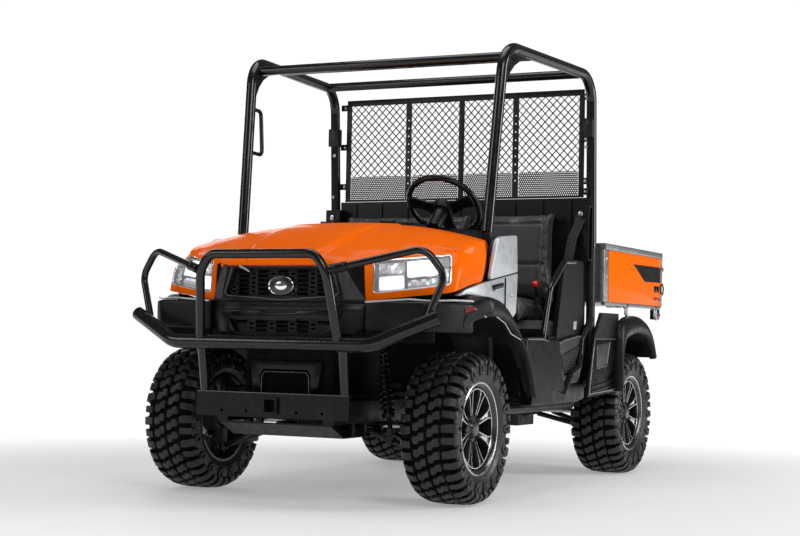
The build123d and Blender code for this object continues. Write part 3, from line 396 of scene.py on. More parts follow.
def turned(profile, centre, axis, around=48):
    # a shape turned about an axis: profile holds distance along the axis and radius, in millimetres
    axis = Vector(axis).normalized()
    side = axis.orthogonal().normalized()
    other = axis.cross(side)
    centre = Vector(centre)
    points, faces = [], []
    for along, radius in profile:
        for j in range(around):
            turn = tau * j / around
            points.append(at(*(centre + axis * along + (side * cos(turn) + other * sin(turn)) * radius)))
    for k in range(len(profile) - 1):
        for j in range(around):
            near, far, after = k * around, (k + 1) * around, (j + 1) % around
            faces.append([near + j, near + after, far + after, far + j])
    if profile[0][1] > 0.01:
        faces.append(list(range(around)))
    if profile[-1][1] > 0.01:
        faces.append([(len(profile) - 1) * around + j for j in range(around)])
    mesh = meshFrom("turned", points, faces)
    shape = bmesh.new()
    shape.from_mesh(mesh)
    bmesh.ops.remove_doubles(shape, verts=shape.verts, dist=1e-6)
    bmesh.ops.recalc_face_normals(shape, faces=shape.faces)
    shape.to_mesh(mesh)
    shape.free()
    sharpBy(mesh, 40)
    return mesh


def bolts(name, places, axis, size, material, body="chassis"):
    # hexagon heads with a washer under each
    head = ((-1, size), (size * 0.55, size), (size * 0.65, size * 0.86), (size * 0.65, 0))
    washer = ((-1, size * 1.35), (1.2, size * 1.35), (1.5, size * 1.2), (1.5, 0))
    parts = [turned(profile, place, axis, around) for place in places
             for profile, around in ((head, 6), (washer, 20))]
    return joined(name, parts, material, body)


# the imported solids' finishes

nodeFinish = {
    frameBlack: "frame_rails cab_frame front_subframe bed_frame rear_hitch suspension_arms lift_barrel",
    # the radiator in the shade black: painted shade
    paintedShadeBlack: "radiator",
    tubeBlack: "brush_guard_beam brush_guard_hoops cage_posts cage_roof grab_tubes rear_screen"
               " shock_absorbers",
    satinBlack: "bumper_plate grille headlamp_housings",
    mouldedBlack: "skid_plate front_fascia cowl_strip fenders floor_pan side_sills seat_base bulkhead"
                  " side_panels controls steering_wheel",
    mouldedGrey: "dashboard",
    orangePaint: "hood bed_side_panels",
    silverPaint: "side_cowls",
    zincSheet: "bed_tub bed_rails tailgate",
    castDark: "knuckle_left knuckle_right front_drive engine transaxle",
    brightSteel: "tie_rods half_shafts muffler lift_rod",
    chrome: "badge",
    lampClear: "headlamp_lenses",
    lampRed: "tail_lamps",
    seatCover: "seat_cushions seat_backs",
    tyreRubber: "tyre_front_left tyre_front_right tyre_rear_left tyre_rear_right",
    machinedAlloy: "rim_front_left rim_front_right rim_rear_left rim_rear_right",
}
for material, names in nodeFinish.items():
    for name in names.split():
        mesh = nodes[name].data
        mesh.materials.clear()
        mesh.materials.append(material)
print("finishes on", len(nodes), "solids")


tyre = {
    "radius": 317, "pitches": 18, "around": 144, "blockHeight": 20, "shoulderHeight": 20, "draft": 0.9,
    "profile": ((0, 297), (40, 296.5), (78, 294), (98, 287), (110, 277), (116, 264), (118.5, 250),
                (117, 230), (110, 208), (104, 196), (101, 189)),
    # an S-shaped centre block: around the tyre, then across it
    "block": ((-24, 4), (-25, 19), (-19, 29), (-8, 35), (-7, 58), (10, 62), (27, 57), (28, 42), (22, 31),
              (11, 25), (10, 7), (-7, 3)),
    # sections of lugs running down the wall: across, middle, half width
    "shoulderLug": ((67, -3, 14), (84, -1, 16.5), (102, 0, 17), (116, 0, 17), (124, 0, 18), (131, 0, 19)),
    "hookLegs": (((122, -15, 7), (136, -15.5, 7), (150, -15, 7), (163, -11, 7)),
                 ((122, 15, 7.5), (136, 15, 7.5), (148, 14, 7.5), (158, 10, 8))),
    "hookFoot": ((154, -1, 16), (161, -2, 15), (170, -3, 10)),
    "shortLug": ((68, 3, 12.5), (84, 2, 14), (102, 0, 14.5), (118, 0, 13), (128, 0, 11)),
}
pitchLength = tau * 300 / tyre["pitches"]


def onTyreWall(across):
    # a point of the carcass so far along its outline from the tread's middle, with its outward direction
    sign, left = (1 if across >= 0 else -1), abs(across)
    outline = tyre["profile"]
    for (w0, r0), (w1, r1) in zip(outline, outline[1:]):
        length = hypot(w1 - w0, r1 - r0)
        if left <= length or (w1, r1) == outline[-1]:
            share = left / length
            return (sign * (w0 + (w1 - w0) * share), r0 + (r1 - r0) * share, sign * (r0 - r1) / length,
                    (w1 - w0) / length)
        left -= length


def wheelPoint(around, across, radius):
    return Vector((radius * cos(around), across, radius * sin(around))) / 1000


def treadBlock(shape, outline, height):
    rows = []
    middleS = sum(s for s, w in outline) / len(outline)
    middleW = sum(w for s, w in outline) / len(outline)
    for lift, scale in ((-4, 1.03), (height, tyre["draft"])):
        row = []
        for s, w in outline:
            s, w = middleS + (s - middleS) * scale, middleW + (w - middleW) * scale
            spot = onTyreWall(w)
            row.append(shape.verts.new(wheelPoint(s / 300, spot[0], min(spot[1] + lift, tyre["radius"]))))
        rows.append(row)
    shape.faces.new(rows[1])
    skinned(shape, rows)


def wallLug(shape, sections, height, sign, shift, fades):
    rings = []
    for (across, middle, half), fade in zip(sections, fades):
        w, r, outW, outR = onTyreWall(sign * across)
        ring = []
        for s, lift in ((-half - 1.5, -4), (-half, height * fade), (half, height * fade), (half + 1.5, -4)):
            around = (shift + sign * (middle + s)) / 300
            radius = min(r + outR * lift, tyre["radius"])
            edge = min(abs(w + outW * lift), 126.6) * sign
            ring.append(shape.verts.new(wheelPoint(around, edge, radius)))
        rings.append(ring)
    skinned(shape, rings)
    shape.faces.new(rings[0])
    shape.faces.new(rings[-1][::-1])


def makeTyre():
    pitch = bmesh.new()
    for k in range(2):
        shift = k * pitchLength / 2
        treadBlock(pitch, [(s + shift, w) for s, w in tyre["block"]], tyre["blockHeight"])
        treadBlock(pitch, [(-s + shift + 24, -w) for s, w in tyre["block"]], tyre["blockHeight"])
    for sign, shift in ((1, 14), (-1, -2)):
        height = tyre["shoulderHeight"]
        wallLug(pitch, tyre["shoulderLug"], height, sign, shift, (1, 1, 1, 0.95, 0.75, 0.45))
        for legs in tyre["hookLegs"]:
            wallLug(pitch, legs, 7.5, sign, shift, (1, 1, 1, 0.95))
        wallLug(pitch, tyre["hookFoot"], 7.5, sign, shift, (0.9, 1, 0.5))
        wallLug(pitch, tyre["shortLug"], height, sign, shift + pitchLength / 2, (1, 1, 1, 0.85, 0.5))
    bmesh.ops.recalc_face_normals(pitch, faces=pitch.faces)
    sharp = [e for e in pitch.edges if len(e.link_faces) == 2 and e.calc_face_angle(0) > radians(35)]
    bmesh.ops.bevel(pitch, geom=sharp, offset=0.0013, segments=1, affect="EDGES", clamp_overlap=True)
    pitchMesh = meshOf("pitch", pitch)
    shape = bmesh.new()
    for k in range(tyre["pitches"]):
        start = len(shape.verts)
        shape.from_mesh(pitchMesh)
        shape.verts.ensure_lookup_table()
        bmesh.ops.rotate(shape, cent=(0, 0, 0), matrix=Matrix.Rotation(-tau * k / tyre["pitches"], 3, "Y"),
                         verts=shape.verts[start:])
    bpy.data.meshes.remove(pitchMesh)
    outline = list(tyre["profile"])
    # ribs round the wall, then the bead and the inside
    wall = outline[:8] + [(116, 226), (117.5, 224), (117, 219), (114, 216)]
    wall += outline[8:9] + [(109, 205), (106, 203)] + outline[9:]
    loop = [(-w, r) for w, r in reversed(wall)] + wall[1:] + [(96, 187), (80, 215), (-80, 215), (-96, 187)]
    rings = []
    for k in range(tyre["around"]):
        turn = tau * k / tyre["around"]
        rings.append([shape.verts.new(wheelPoint(turn, w, r)) for w, r in loop])
    skinned(shape, rings + rings[:1])
    mesh = meshOf("mudTyre", shape)
    sharpBy(mesh, 40)
    for finishUsed in (tyreRubber, treadRubber, paintedShadeBlack):
        mesh.materials.append(finishUsed)
    for face in mesh.polygons:
        middle = face.center * 1000
        radius = hypot(middle.x, middle.z)
        tread = abs(middle.y) < 117 and radius > 288
        # faces on the groove floors between the blocks take the shade black: painted shade
        face.material_index = 2 if abs(middle.y) < 108 and 280 < radius < 299 else int(tread)
    return mesh


rim = {
    "spokes": 8, "ringInner": 162, "ringOuter": 168, "lugNuts": 4,
    # face of a spoke: radius, half width there, distance from the wheel's middle plane
    "spoke": ((34, 8, 73), (60, 9, 77), (100, 12.5, 83), (136, 16.5, 87.5), (150, 21, 89), (165, 31, 90)),
    "edgeLine": 4.2, "recess": 9, "depth": 26,
    "barrel": ((-108, 196), (-108, 186), (-98, 180), (-60, 170), (60, 167), (76, 167.5), (90, 171),
               (98, 177), (102, 184), (105, 188), (105.5, 192), (103, 196), (98, 194), (92, 184), (60, 176),
               (-60, 178), (-96, 188), (-100, 194)),
}


def ringBand(shape, outline, around=96):
    # a closed outline (across, radius) turned round the axle
    rings = [[shape.verts.new(wheelPoint(tau * k / around, w, r)) for w, r in outline]
             for k in range(around)]
    skinned(shape, rings + rings[:1])


def makeRim():
    shape = bmesh.new()
    line, depth = rim["edgeLine"], rim["depth"]
    for k in range(rim["spokes"]):
        turn = tau * (k + 0.5) / rim["spokes"]
        rows = []
        for radius, half, front in rim["spoke"]:
            # black web between two machined edges, a forked tip at the ring
            section = ((-half - 3, front - depth), (-half, front - 1.5), (-half + 0.8, front),
                       (-half + line, front), (-half + line + 1, front - rim["recess"]),
                       (half - line - 1, front - rim["recess"]), (half - line, front), (half - 0.8, front),
                       (half, front - 1.5), (half + 3, front - depth))
            rows.append([shape.verts.new(wheelPoint(turn + s / radius, across, radius))
                         for s, across in section])
        skinned(shape, rows)
        shape.faces.new(rows[0])
        shape.faces.new(rows[-1][::-1])
    inner, outer = rim["ringInner"], rim["ringOuter"]
    ringBand(shape, ((66, inner + 2), (89, inner), (90.5, inner + 0.8), (90.5, outer - 2), (88, outer),
                     (66, outer + 2)))
    ringBand(shape, rim["barrel"])
    # hub with its cap
    ringBand(shape, ((40, 20), (40, 58), (66, 60), (72, 56), (75, 44), (77, 37), (84, 34), (88, 30),
                     (90, 20), (90.5, 1), (60, 1)), 48)
    for k in range(rim["lugNuts"]):
        turn = tau * (k + 0.5) / rim["lugNuts"]
        middle = wheelPoint(turn, 0, 46)
        for radius, low, high in ((9, 70, 86), (5, 86, 90)):
            nut = [[shape.verts.new(middle + wheelPoint(tau * j / 6, up, radius)) for j in range(6)]
                   for up in (low, high)]
            skinned(shape, nut)
            shape.faces.new(nut[1])
            shape.faces.new(nut[0][::-1])
    bmesh.ops.recalc_face_normals(shape, faces=shape.faces)
    mesh = meshOf("spokedRim", shape)
    for finishUsed in (wheelBlack, machinedAlloy, castDark):
        mesh.materials.append(finishUsed)
    for face in mesh.polygons:
        middle, outward = face.center * 1000, face.normal
        reach = hypot(middle.x, middle.z)
        turn = (atan2(middle.z, middle.x) / tau * rim["spokes"] + 0.5) % 1 - 0.5
        offSpoke = abs(turn) * tau / rim["spokes"] * reach
        half = next((h for r, h, f in rim["spoke"] if r > reach), 28)
        edge = 62 < reach < inner + 2 and outward.y > 0.8 and middle.y > 76 and offSpoke > half * 0.55
        lip = reach > 186 and middle.y > 101 or (inner <= reach <= outer and middle.y > 89.5)
        nut = 36 < reach < 56 and middle.y > 74
        face.material_index = 1 if edge or lip else (2 if nut else 0)
    sharpBy(mesh, 30)
    return mesh


tyreMesh, rimMesh = makeTyre(), makeRim()
for end, axleAhead in (("front", 0), ("rear", -wheelbase)):
    for side, sideName in sides:
        corner = end + "_" + sideName
        for name, mesh, node, slotName in (("mudTyre", tyreMesh, "tyre_" + corner, "tyre_rubber"),
                ("spokedRim", rimMesh, "rim_" + corner, "rim_alloy")):
            piece = bpy.data.objects.new(name + end.title() + sideName.title(), mesh)
            bpy.context.scene.collection.objects.link(piece)
            piece.location = at(axleAhead, side * 620, 317)
            piece.rotation_euler = (0, 0, 0 if side > 0 else pi)
            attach(piece, "wheel_" + corner)
            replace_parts(piece, node)
print("wheels", len(tyreMesh.polygons), len(rimMesh.polygons))

standingObjects = set(bpy.data.objects)


# hood

def along(table, x):
    # a smooth value read from (place, value...) rows in rising order of place
    rows = sorted(table)
    if x <= rows[0][0]:
        return rows[0][1:] if len(rows[0]) > 2 else rows[0][1]
    if x >= rows[-1][0]:
        return rows[-1][1:] if len(rows[-1]) > 2 else rows[-1][1]
    k = max(i for i, row in enumerate(rows[:-1]) if row[0] <= x)
    x0, x1 = rows[k][0], rows[k + 1][0]
    u = (x - x0) / (x1 - x0)

    def slope(i, j):
        if i == 0 or i == len(rows) - 1:
            a, b = (0, 1) if i == 0 else (i - 1, i)
            return (rows[b][j] - rows[a][j]) / (rows[b][0] - rows[a][0])
        left = (rows[i][j] - rows[i - 1][j]) / (rows[i][0] - rows[i - 1][0])
        right = (rows[i + 1][j] - rows[i][j]) / (rows[i + 1][0] - rows[i][0])
        return 0 if left * right <= 0 else 2 * left * right / (left + right)

    values, share = [], 3 * u ** 2 - 2 * u ** 3
    for j in range(1, len(rows[0])):
        bend = (x1 - x0) * ((u ** 3 - 2 * u ** 2 + u) * slope(k, j) + (u ** 3 - u ** 2) * slope(k + 1, j))
        values.append((1 - share) * rows[k][j] + share * rows[k + 1][j] + bend)
    return values if len(values) > 1 else values[0]


hood = {
    "wall": 4, "lipHeight": 981, "crown": 5, "edgeRound": 16, "stepWidth": 30, "fall": 1.5,
    "crest": ((-243, 1198), (-100, 1189), (60, 1162), (180, 1128), (258, 1100), (300, 1085), (345, 1066),
              (385, 1049), (410, 1034), (420, 1020)),
    "plateau": ((-243, 205), (0, 198), (200, 188), (350, 172), (420, 150)),
    "step": ((-243, 8), (100, 12), (300, 19), (420, 22)),
    # half width and height of the outer edge
    "edge": ((-243, 640, 1113), (-190, 659, 1109), (-141, 676, 1104), (-90, 692, 1099), (-39, 702, 1094),
             (10, 704, 1087), (60, 703, 1080), (100, 700, 1072), (140, 695, 1062), (162, 688, 1057),
             (180, 676, 1052), (196, 655, 1048), (212, 625, 1043), (235, 583, 1037), (258, 540, 1031),
             (280, 495, 1024), (300, 450, 1018), (320, 410, 1012), (338, 376, 1006), (352, 352, 1004),
             (378, 324, 997), (404, 300, 990), (420, 285, 983)),
    # the skirt's lower edge for each place along the hood: ahead, left, up
    "skirt": ((-243, -243, 640, 1085), (-190, -190, 660, 1056), (-141, -141, 678, 1012),
              (-90, -90, 694, 966), (-39, -39, 703, 928), (10, 30, 704, 918), (60, 90, 704, 908),
              (100, 140, 704, 897), (140, 185, 703, 887), (162, 212, 700, 881), (180, 232, 692, 876),
              (196, 246, 676, 872), (212, 258, 652, 869), (235, 275, 610, 864), (258, 292, 562, 858),
              (280, 308, 515, 852), (300, 322, 465, 846), (320, 334, 420, 840), (338, 344, 380, 834),
              (352, 350, 360, 834)),
    "lampEnds": (186, 334), "lampTop": ((186, 1034), (334, 998)), "lampBottom": ((186, 906), (334, 864)),
    "leanIn": 30, "leanBack": 2.05, "lampCorner": (13, 6, 2), "cornerStations": (0, 4, 11),
}


def hoodTop(x, y):
    crest, plateau, step = along(hood["crest"], x), along(hood["plateau"], x), along(hood["step"], x)
    edgeY, edgeZ = along(hood["edge"], x)
    side = abs(y)
    if side <= plateau:
        return crest - hood["crown"] * (side / plateau) ** 2
    valley = crest - hood["crown"] - step
    width = hood["stepWidth"]
    if side < plateau + width:
        u = (side - plateau) / width
        return crest - hood["crown"] - step * (3 * u ** 2 - 2 * u ** 3)
    u = min(1, (side - plateau - width) / max(1, edgeY - plateau - width))
    height = valley + (edgeZ - valley) * u ** hood["fall"]
    left = edgeY - side
    radius = hood["edgeRound"]
    if left < radius:
        height -= radius - sqrt(max(0, radius ** 2 - (radius - left) ** 2))
    return height


def skirtEnds(x):
    edgeY, edgeZ = along(hood["edge"], x)
    top = Vector((x, edgeY, edgeZ - hood["edgeRound"]))
    bottom = Vector(along(hood["skirt"], x))
    return top, bottom


def onSkirt(x, share, depth=0.0):
    # a point of the front and side skin: share runs from its top edge down, depth goes inwards
    top, bottom = skirtEnds(x)
    point = top.lerp(bottom, share)
    before, after = (sum(skirtEnds(x + d), Vector()) / 2 for d in (-3, 3))
    outward = (before - after).cross(top - bottom).normalized()
    if outward.y < 0:
        outward = -outward
    bulge = 5 * sin(pi * min(1, max(0, share))) if x < 330 else 3
    return point + outward * (bulge - depth)


def lampShare(x, height):
    # how far down the skirt a height lies
    top, bottom = skirtEnds(x)
    return (top.z - height) / (top.z - bottom.z)


def lampSpan(x):
    # the lamp opening's top and bottom at this place, drawn in at its rounded ends
    low, high = hood["lampEnds"]
    inset = 0
    for limit, toward in ((low, 1), (high, -1)):
        for step, cut in zip(hood["cornerStations"], hood["lampCorner"]):
            if abs(x - (limit + toward * step)) < 0.01:
                inset = cut
    share = (x - low) / (high - low)
    top = hood["lampTop"][0][1] + (hood["lampTop"][1][1] - hood["lampTop"][0][1]) * share
    bottom = hood["lampBottom"][0][1] + (hood["lampBottom"][1][1] - hood["lampBottom"][0][1]) * share
    return lampShare(x, top - inset), lampShare(x, bottom + inset)


lampStations = sorted({hood["lampEnds"][0] + s for s in hood["cornerStations"]} | {hood["lampEnds"][1] - s
    for s in hood["cornerStations"]} | {210, 225, 240, 255, 270, 285, 300, 312})
hoodStations = sorted(set(lampStations) | {-243, -217, -190, -165, -141, -115, -90, -65, -39, -15, 10, 35,
    60, 80, 100, 120, 140, 152, 162, 172, 180, 338, 345, 352, 365, 378, 391, 404, 410, 414, 417, 420})


def hoodSkin():
    shape = bmesh.new()
    # top
    rows = []
    for x in hoodStations:
        edgeY = along(hood["edge"], x)[0]
        plateau = along(hood["plateau"], x)
        lefts = [plateau * k / 5 for k in range(5)] + [plateau + hood["stepWidth"] * k / 5
            for k in range(6)]
        start = plateau + hood["stepWidth"]
        lefts += [start + (edgeY - hood["edgeRound"] - start) * k / 8 for k in range(1, 9)]
        lefts += [edgeY - hood["edgeRound"] * (1 - sin(radians(a))) for a in (22, 45, 67, 90)]
        full = [-y for y in reversed(lefts[1:])] + lefts
        rows.append([shape.verts.new(at(x, y, hoodTop(x, y))) for y in full])
    # the nose's lip, rolling down to the grille
    origin = at(0, 0, 0)
    rows.append([shape.verts.new(v.co + at(-1, 0, min(0, hood["lipHeight"] - 1000 * v.co.z)) - origin)
                 for v in rows[-1]])
    skinned(shape, rows, False)
    # skirts round the sides and the lamps
    lampLow, lampHigh = hood["lampEnds"]
    for side in (1, -1):
        columns = []
        for x in [s for s in hoodStations if s <= 352]:
            upper, lower = lampSpan(min(max(x, lampLow), lampHigh))
            shares = [0, upper * 0.35, upper * 0.7] + [upper + (lower - upper) * k / 4 for k in range(4)]
            shares += [lower, lower + (1 - lower) * 0.5, 1]
            column = []
            for share in shares:
                point = onSkirt(x, share)
                column.append(shape.verts.new(at(point.x, side * point.y, point.z)))
            columns.append((x, column))
        for (x0, near), (x1, far) in zip(columns, columns[1:]):
            lampHere = x0 >= lampLow - 0.01 and x1 <= lampHigh + 0.01
            for k in range(len(near) - 1):
                if lampHere and 3 <= k < 7:
                    continue
                shape.faces.new((near[k], near[k + 1], far[k + 1], far[k]))
    bmesh.ops.remove_doubles(shape, verts=shape.verts, dist=0.0035)
    return meshOf("hoodSkin", shape)


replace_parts(thickened(pieceFrom("hoodSkin", hoodSkin(), orangePaint, "hood"), hood["wall"], -1, 38), "hood")


# headlamps

lamp = {"lensInset": 3, "bowl": ((6, -0.012), (26, -0.03), (46, -0.045), (74, -0.05)), "bulge": 2}


def bump(a, b):
    # rises from 0 at a sheet's edges to 1 in its middle
    return sin(pi * a) * sin(pi * b)


def lampPoint(across, rise, depth):
    # across 0 is the inner end and 1 the outer end; rise 0 is the bottom
    low, high = hood["lampEnds"]
    x = high + (low - high) * across
    top = hood["lampTop"][1][1] + (hood["lampTop"][0][1] - hood["lampTop"][1][1]) * across
    bottom = hood["lampBottom"][1][1] + (hood["lampBottom"][0][1] - hood["lampBottom"][1][1]) * across
    return onSkirt(x, lampShare(x, bottom + (top - bottom) * rise), depth)


def lampSheet(name, span, rise, depthOf, cells, material, side, thickness=2.0, slot="lamp_body"):
    shape = bmesh.new()
    rows = []
    for i in range(cells[0] + 1):
        row = []
        for j in range(cells[1] + 1):
            a, b = i / cells[0], j / cells[1]
            point = lampPoint(span[0] + (span[1] - span[0]) * a, rise[0] + (rise[1] - rise[0]) * b,
                              depthOf(a, b))
            row.append(shape.verts.new(at(point.x, side * point.y, point.z)))
        rows.append(row)
    skinned(shape, rows, False)
    return thickened(pieceFrom(name, meshOf(name, shape, False), material, "hood"), thickness, -1,
                     None)


def lampLoop(depth, grow=0.0, steps=14):
    # the opening's rounded outline at a depth
    points = []
    corner = 0.07
    near, tall = 1 - corner, corner * 1.3
    for a0, b0, start in ((near, 1 - tall, 0), (corner, 1 - tall, 1), (corner, tall, 2), (near, tall, 3)):
        for k in range(5):
            turn = radians(90 * start + 90 * k / 4)
            points.append((a0 + (corner + grow) * cos(turn), b0 + (tall + grow) * sin(turn)))
    full = []
    for (a, b), (c, d) in zip(points, points[1:] + points[:1]):
        count = max(1, int(hypot(a - c, b - d) * steps))
        full += [(a + (c - a) * k / count, b + (d - b) * k / count) for k in range(count)]
    return [lampPoint(a, b, depth) for a, b in full]


def lampBowl(name, loops, side):
    # walls going in from the opening, closed at the bottom
    shape = bmesh.new()
    rings = [[shape.verts.new(at(*p)) for p in onSide(side, loop)] for loop in loops]
    skinned(shape, rings)
    shape.faces.new(rings[-1])
    return thickened(pieceFrom(name, meshOf(name, shape), satinBlack, "hood"), 2, 0, 40)


# two reflectors made bright by a painted reflection glow, with dark facets beside them that carry a fainter
# painted reflection: span across, span up, depth, cells and finish
lampParts = (
    ("Low_", (0.07, 0.36), (0.09, 0.50), lambda a, b: 22 + 34 * bump(a, b), (6, 6), paintedReflectionBowl),
    ("LowFrame_", (0.05, 0.385), (0.50, 0.56), lambda a, b: 16, (6, 1), chrome),
    ("High_", (0.40, 0.80), (0.40, 0.93), lambda a, b: 20 + 36 * bump(a, b), (8, 6), paintedReflectionBowl),
    ("Bulb_", (0.47, 0.73), (0.52, 0.84), lambda a, b: 40 - 14 * bump(a, b), (6, 6), lampGlow),
    ("Inner_", (0.06, 0.38), (0.60, 0.93), lambda a, b: 34 + 12 * cos(3 * pi * a) * (1 - b), (6, 3),
     paintedReflectionFacets),
    ("Facets_", (0.40, 0.80), (0.07, 0.36), lambda a, b: 30 + 9 * cos(6 * pi * a) + 8 * cos(2 * pi * b),
     (9, 3), paintedReflectionFacets),
    ("Outer_", (0.83, 0.955), (0.09, 0.62), lambda a, b: 16 + 9 * cos(2 * pi * b * 3), (3, 7),
     paintedReflectionFacets),
    ("OuterDark_", (0.83, 0.955), (0.64, 0.92), lambda a, b: 20, (2, 3), satinBlack),
)
divider = ((0.385, 0.93), (0.385, 0.42), (0.44, 0.36), (0.60, 0.385), (0.70, 0.36), (0.80, 0.38),
           (0.815, 0.60), (0.805, 0.93))
for side, name in sides:
    loops = [lampLoop(depth, grow) for depth, grow in lamp["bowl"]]
    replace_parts(lampBowl("lampBezel_" + name, loops, side), "headlamp_housings")
    hoopBar("lampRim_" + name, onSide(side, lampLoop(2.5, -0.008)), 3.2, 8, chrome, "hood")
    for part, *details in lampParts:
        lampSheet("lamp" + part + name, *details, side)
    line = onSide(side, [lampPoint(a, b, 14) for a, b in divider])
    mesh = tubeMesh("lampDivider_" + name, line, 3.4, 8)
    pieceFrom("lampDivider_" + name, mesh, satinBlack, "hood")
    lens = lampSheet("lampLens_" + name, (0.004, 0.996), (0.006, 0.994),
                     lambda a, b: lamp["lensInset"] - lamp["bulge"] * bump(a, b),
                     (18, 10), lampClear, side, 2.5, "lamp_clear")
    lens.data.polygons.foreach_set("use_smooth", [True] * len(lens.data.polygons))
    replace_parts(lens, "headlamp_lenses")
# the hood's front corners lean back and inward, most of all above the lamps
for piece in set(bpy.data.objects) - standingObjects:
    for vertex in piece.data.vertices:
        x, y, z = vertex.co.x * 1000 - frontAxle, vertex.co.y * 1000, vertex.co.z * 1000
        lean = hood["leanIn"] * min(max((x + 60) / 260, 0), 1.2) * min(abs(y) / 610, 1.05) ** 4
        lean *= min(max((z - 960) / 85, 0.25), 1.0)
        vertex.co.x -= hood["leanBack"] * lean / 1000
        vertex.co.y -= copysign(lean, y) / 1000
print("hood and lamps made")


# grille and front panel

grille = {
    "face": 412, "plate": 396, "back": 372, "slotRow": 18.4, "slotHigh": 11, "slotLip": 2.4,
    "upper": (850, 963), "upperHalf": ((850, 268), (963, 228)), "lower": (698, 757),
    "lowerHalf": ((698, 214), (757, 250)),
    # slot columns: middle, slot width, shift in rows
    "upperColumns": [(94 * k, 56, 0) for k in range(-3, 4)]
                    + [(94 * k + 47, 24, 0.5) for k in range(-3, 3)],
    "lowerColumns": [(98 * k, 62, 0) for k in range(-2, 3)]
                    + [(98 * k + 49, 24, 0.5) for k in range(-3, 3)],
    "ledge": ((238, 968), (276, 864), (258, 846), (96, 846), (84, 834), (0, 834)),
}


def sheetFrom(name, rows, material, wall, offset, crease):
    # a moulded sheet through rows of points
    shape = bmesh.new()
    skinned(shape, [[shape.verts.new(at(*p)) for p in row] for row in rows], False)
    return thickened(pieceFrom(name, meshOf(name, shape), material), wall, offset, crease)


def slotOutline(width, high, corner=5, steps=3):
    points = []
    for sx, sy, start in ((1, 1, 0), (-1, 1, 90), (-1, -1, 180), (1, -1, 270)):
        for k in range(steps + 1):
            turn = radians(start + 90 * k / steps)
            points.append((sx * (width / 2 - corner) + corner * cos(turn),
                           sy * (high / 2 - corner) + corner * sin(turn)))
    return points


def slottedPlate(name, columns, rows, half):
    # a moulded plate with staggered slots, each with a raised lip whose faces are lighter grey as a painted
    # highlight
    shape = bmesh.new()
    edges, flat, proud = sorted(columns), grille["plate"], grille["plate"] + grille["slotLip"]
    for k, (middle, width, shift) in enumerate(edges):
        left, right = middle - width / 2 - 5, middle + width / 2 + 5
        if k:
            left = (edges[k - 1][0] + edges[k - 1][1] / 2 + middle - width / 2) / 2
        if k + 1 < len(edges):
            right = (edges[k + 1][0] - edges[k + 1][1] / 2 + middle + width / 2) / 2
        count = int((rows[1] - rows[0]) / grille["slotRow"])
        low = rows[0] + grille["slotRow"] * shift

        def panel(bottom, top):
            corners = ((left, bottom), (right, bottom), (right, top), (left, top))
            shape.faces.new([shape.verts.new(at(flat, y, z)) for y, z in corners])

        panel(rows[0] - 14, low)
        panel(low + count * grille["slotRow"], rows[1] + 24)
        for r in range(count):
            z0 = low + r * grille["slotRow"]
            z1 = z0 + grille["slotRow"]
            centre = ((left + right) / 2, (z0 + z1) / 2)
            inside = abs(middle) + width / 2 + 5 < half(centre[1]) and z0 > rows[0] - 6 and z1 < rows[1] + 6
            if not inside:
                panel(z0, z1)
                continue
            outline = slotOutline(width, grille["slotHigh"])
            # the cell's outer edge carries one point for each point of the slot
            outer = []
            for y, z in outline:
                stretch = min((right - left) / 2 / max(abs(y), 1e-6), (z1 - z0) / 2 / max(abs(z), 1e-6))
                outer.append((y * stretch, z * stretch))
            loops = []
            for offset, x, ring in ((0, flat, outer), (1.8, flat, outline), (1.2, proud, outline),
                    (0, proud, outline), (-0.6, flat - 14, outline)):
                loop = []
                for y, z in ring:
                    grow = offset / hypot(y, z) if ring is outline else 0
                    loop.append(shape.verts.new(at(x, centre[0] + y * (1 + grow),
                        centre[1] + z * (1 + grow))))
                loops.append(loop)
            for band, (near, far) in enumerate(zip(loops, loops[1:])):
                for j in range(len(near)):
                    wall = shape.faces.new((near[j], near[(j + 1) % len(near)], far[(j + 1) % len(far)],
                        far[j]))
                    # the lip's faces take the lighter grey: painted highlight
                    wall.material_index = 1 if band in (1, 2) else 0
    bmesh.ops.remove_doubles(shape, verts=shape.verts, dist=1e-6)
    mesh = bpy.data.meshes.new(name)
    shape.to_mesh(mesh)
    shape.free()
    sharpBy(mesh, 50)
    return pieceFrom(name, mesh, [satinBlack, paintedHighlightGrey])


def sweepBack(piece):
    # bends a finished piece along the fender's swept line
    for vertex in piece.data.vertices:
        x, y = swept(vertex.co.x * 1000 - frontAxle, abs(vertex.co.y) * 1000)
        vertex.co.x, vertex.co.y = (x + frontAxle) / 1000, copysign(y, vertex.co.y) / 1000


def upperHalf(z):
    return along(grille["upperHalf"], z)


def lowerHalf(z):
    return along(grille["lowerHalf"], z)


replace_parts(slottedPlate("grilleUpper", grille["upperColumns"], grille["upper"], upperHalf), "grille")
slottedPlate("grilleLower", grille["lowerColumns"], grille["lower"], lowerHalf)
# dark plates behind the grille and the panel, in the shade black: painted shade
brick("grilleBack", (grille["back"] - 6, grille["back"]), (-300, 300), (696, 974), paintedShadeBlack, 2)
brick("panelBack", (352, 366), (-362, 362), (668, 712), paintedShadeBlack, 2)


def frontAhead(left, up):
    # how far ahead the front panel lies: flat in the middle, swept back towards the lamps
    lean = along(((600, 372), (689, 392), (760, 408), (795, 412), (822, 402), (830, 413), (985, 413)), up)
    edge = abs(left) - 262
    return lean - (max(0, edge) / 105) ** 1.5 * 62


def panelHalf(up):
    return along(((600, 366), (828, 366), (870, 345), (985, 283)), up)


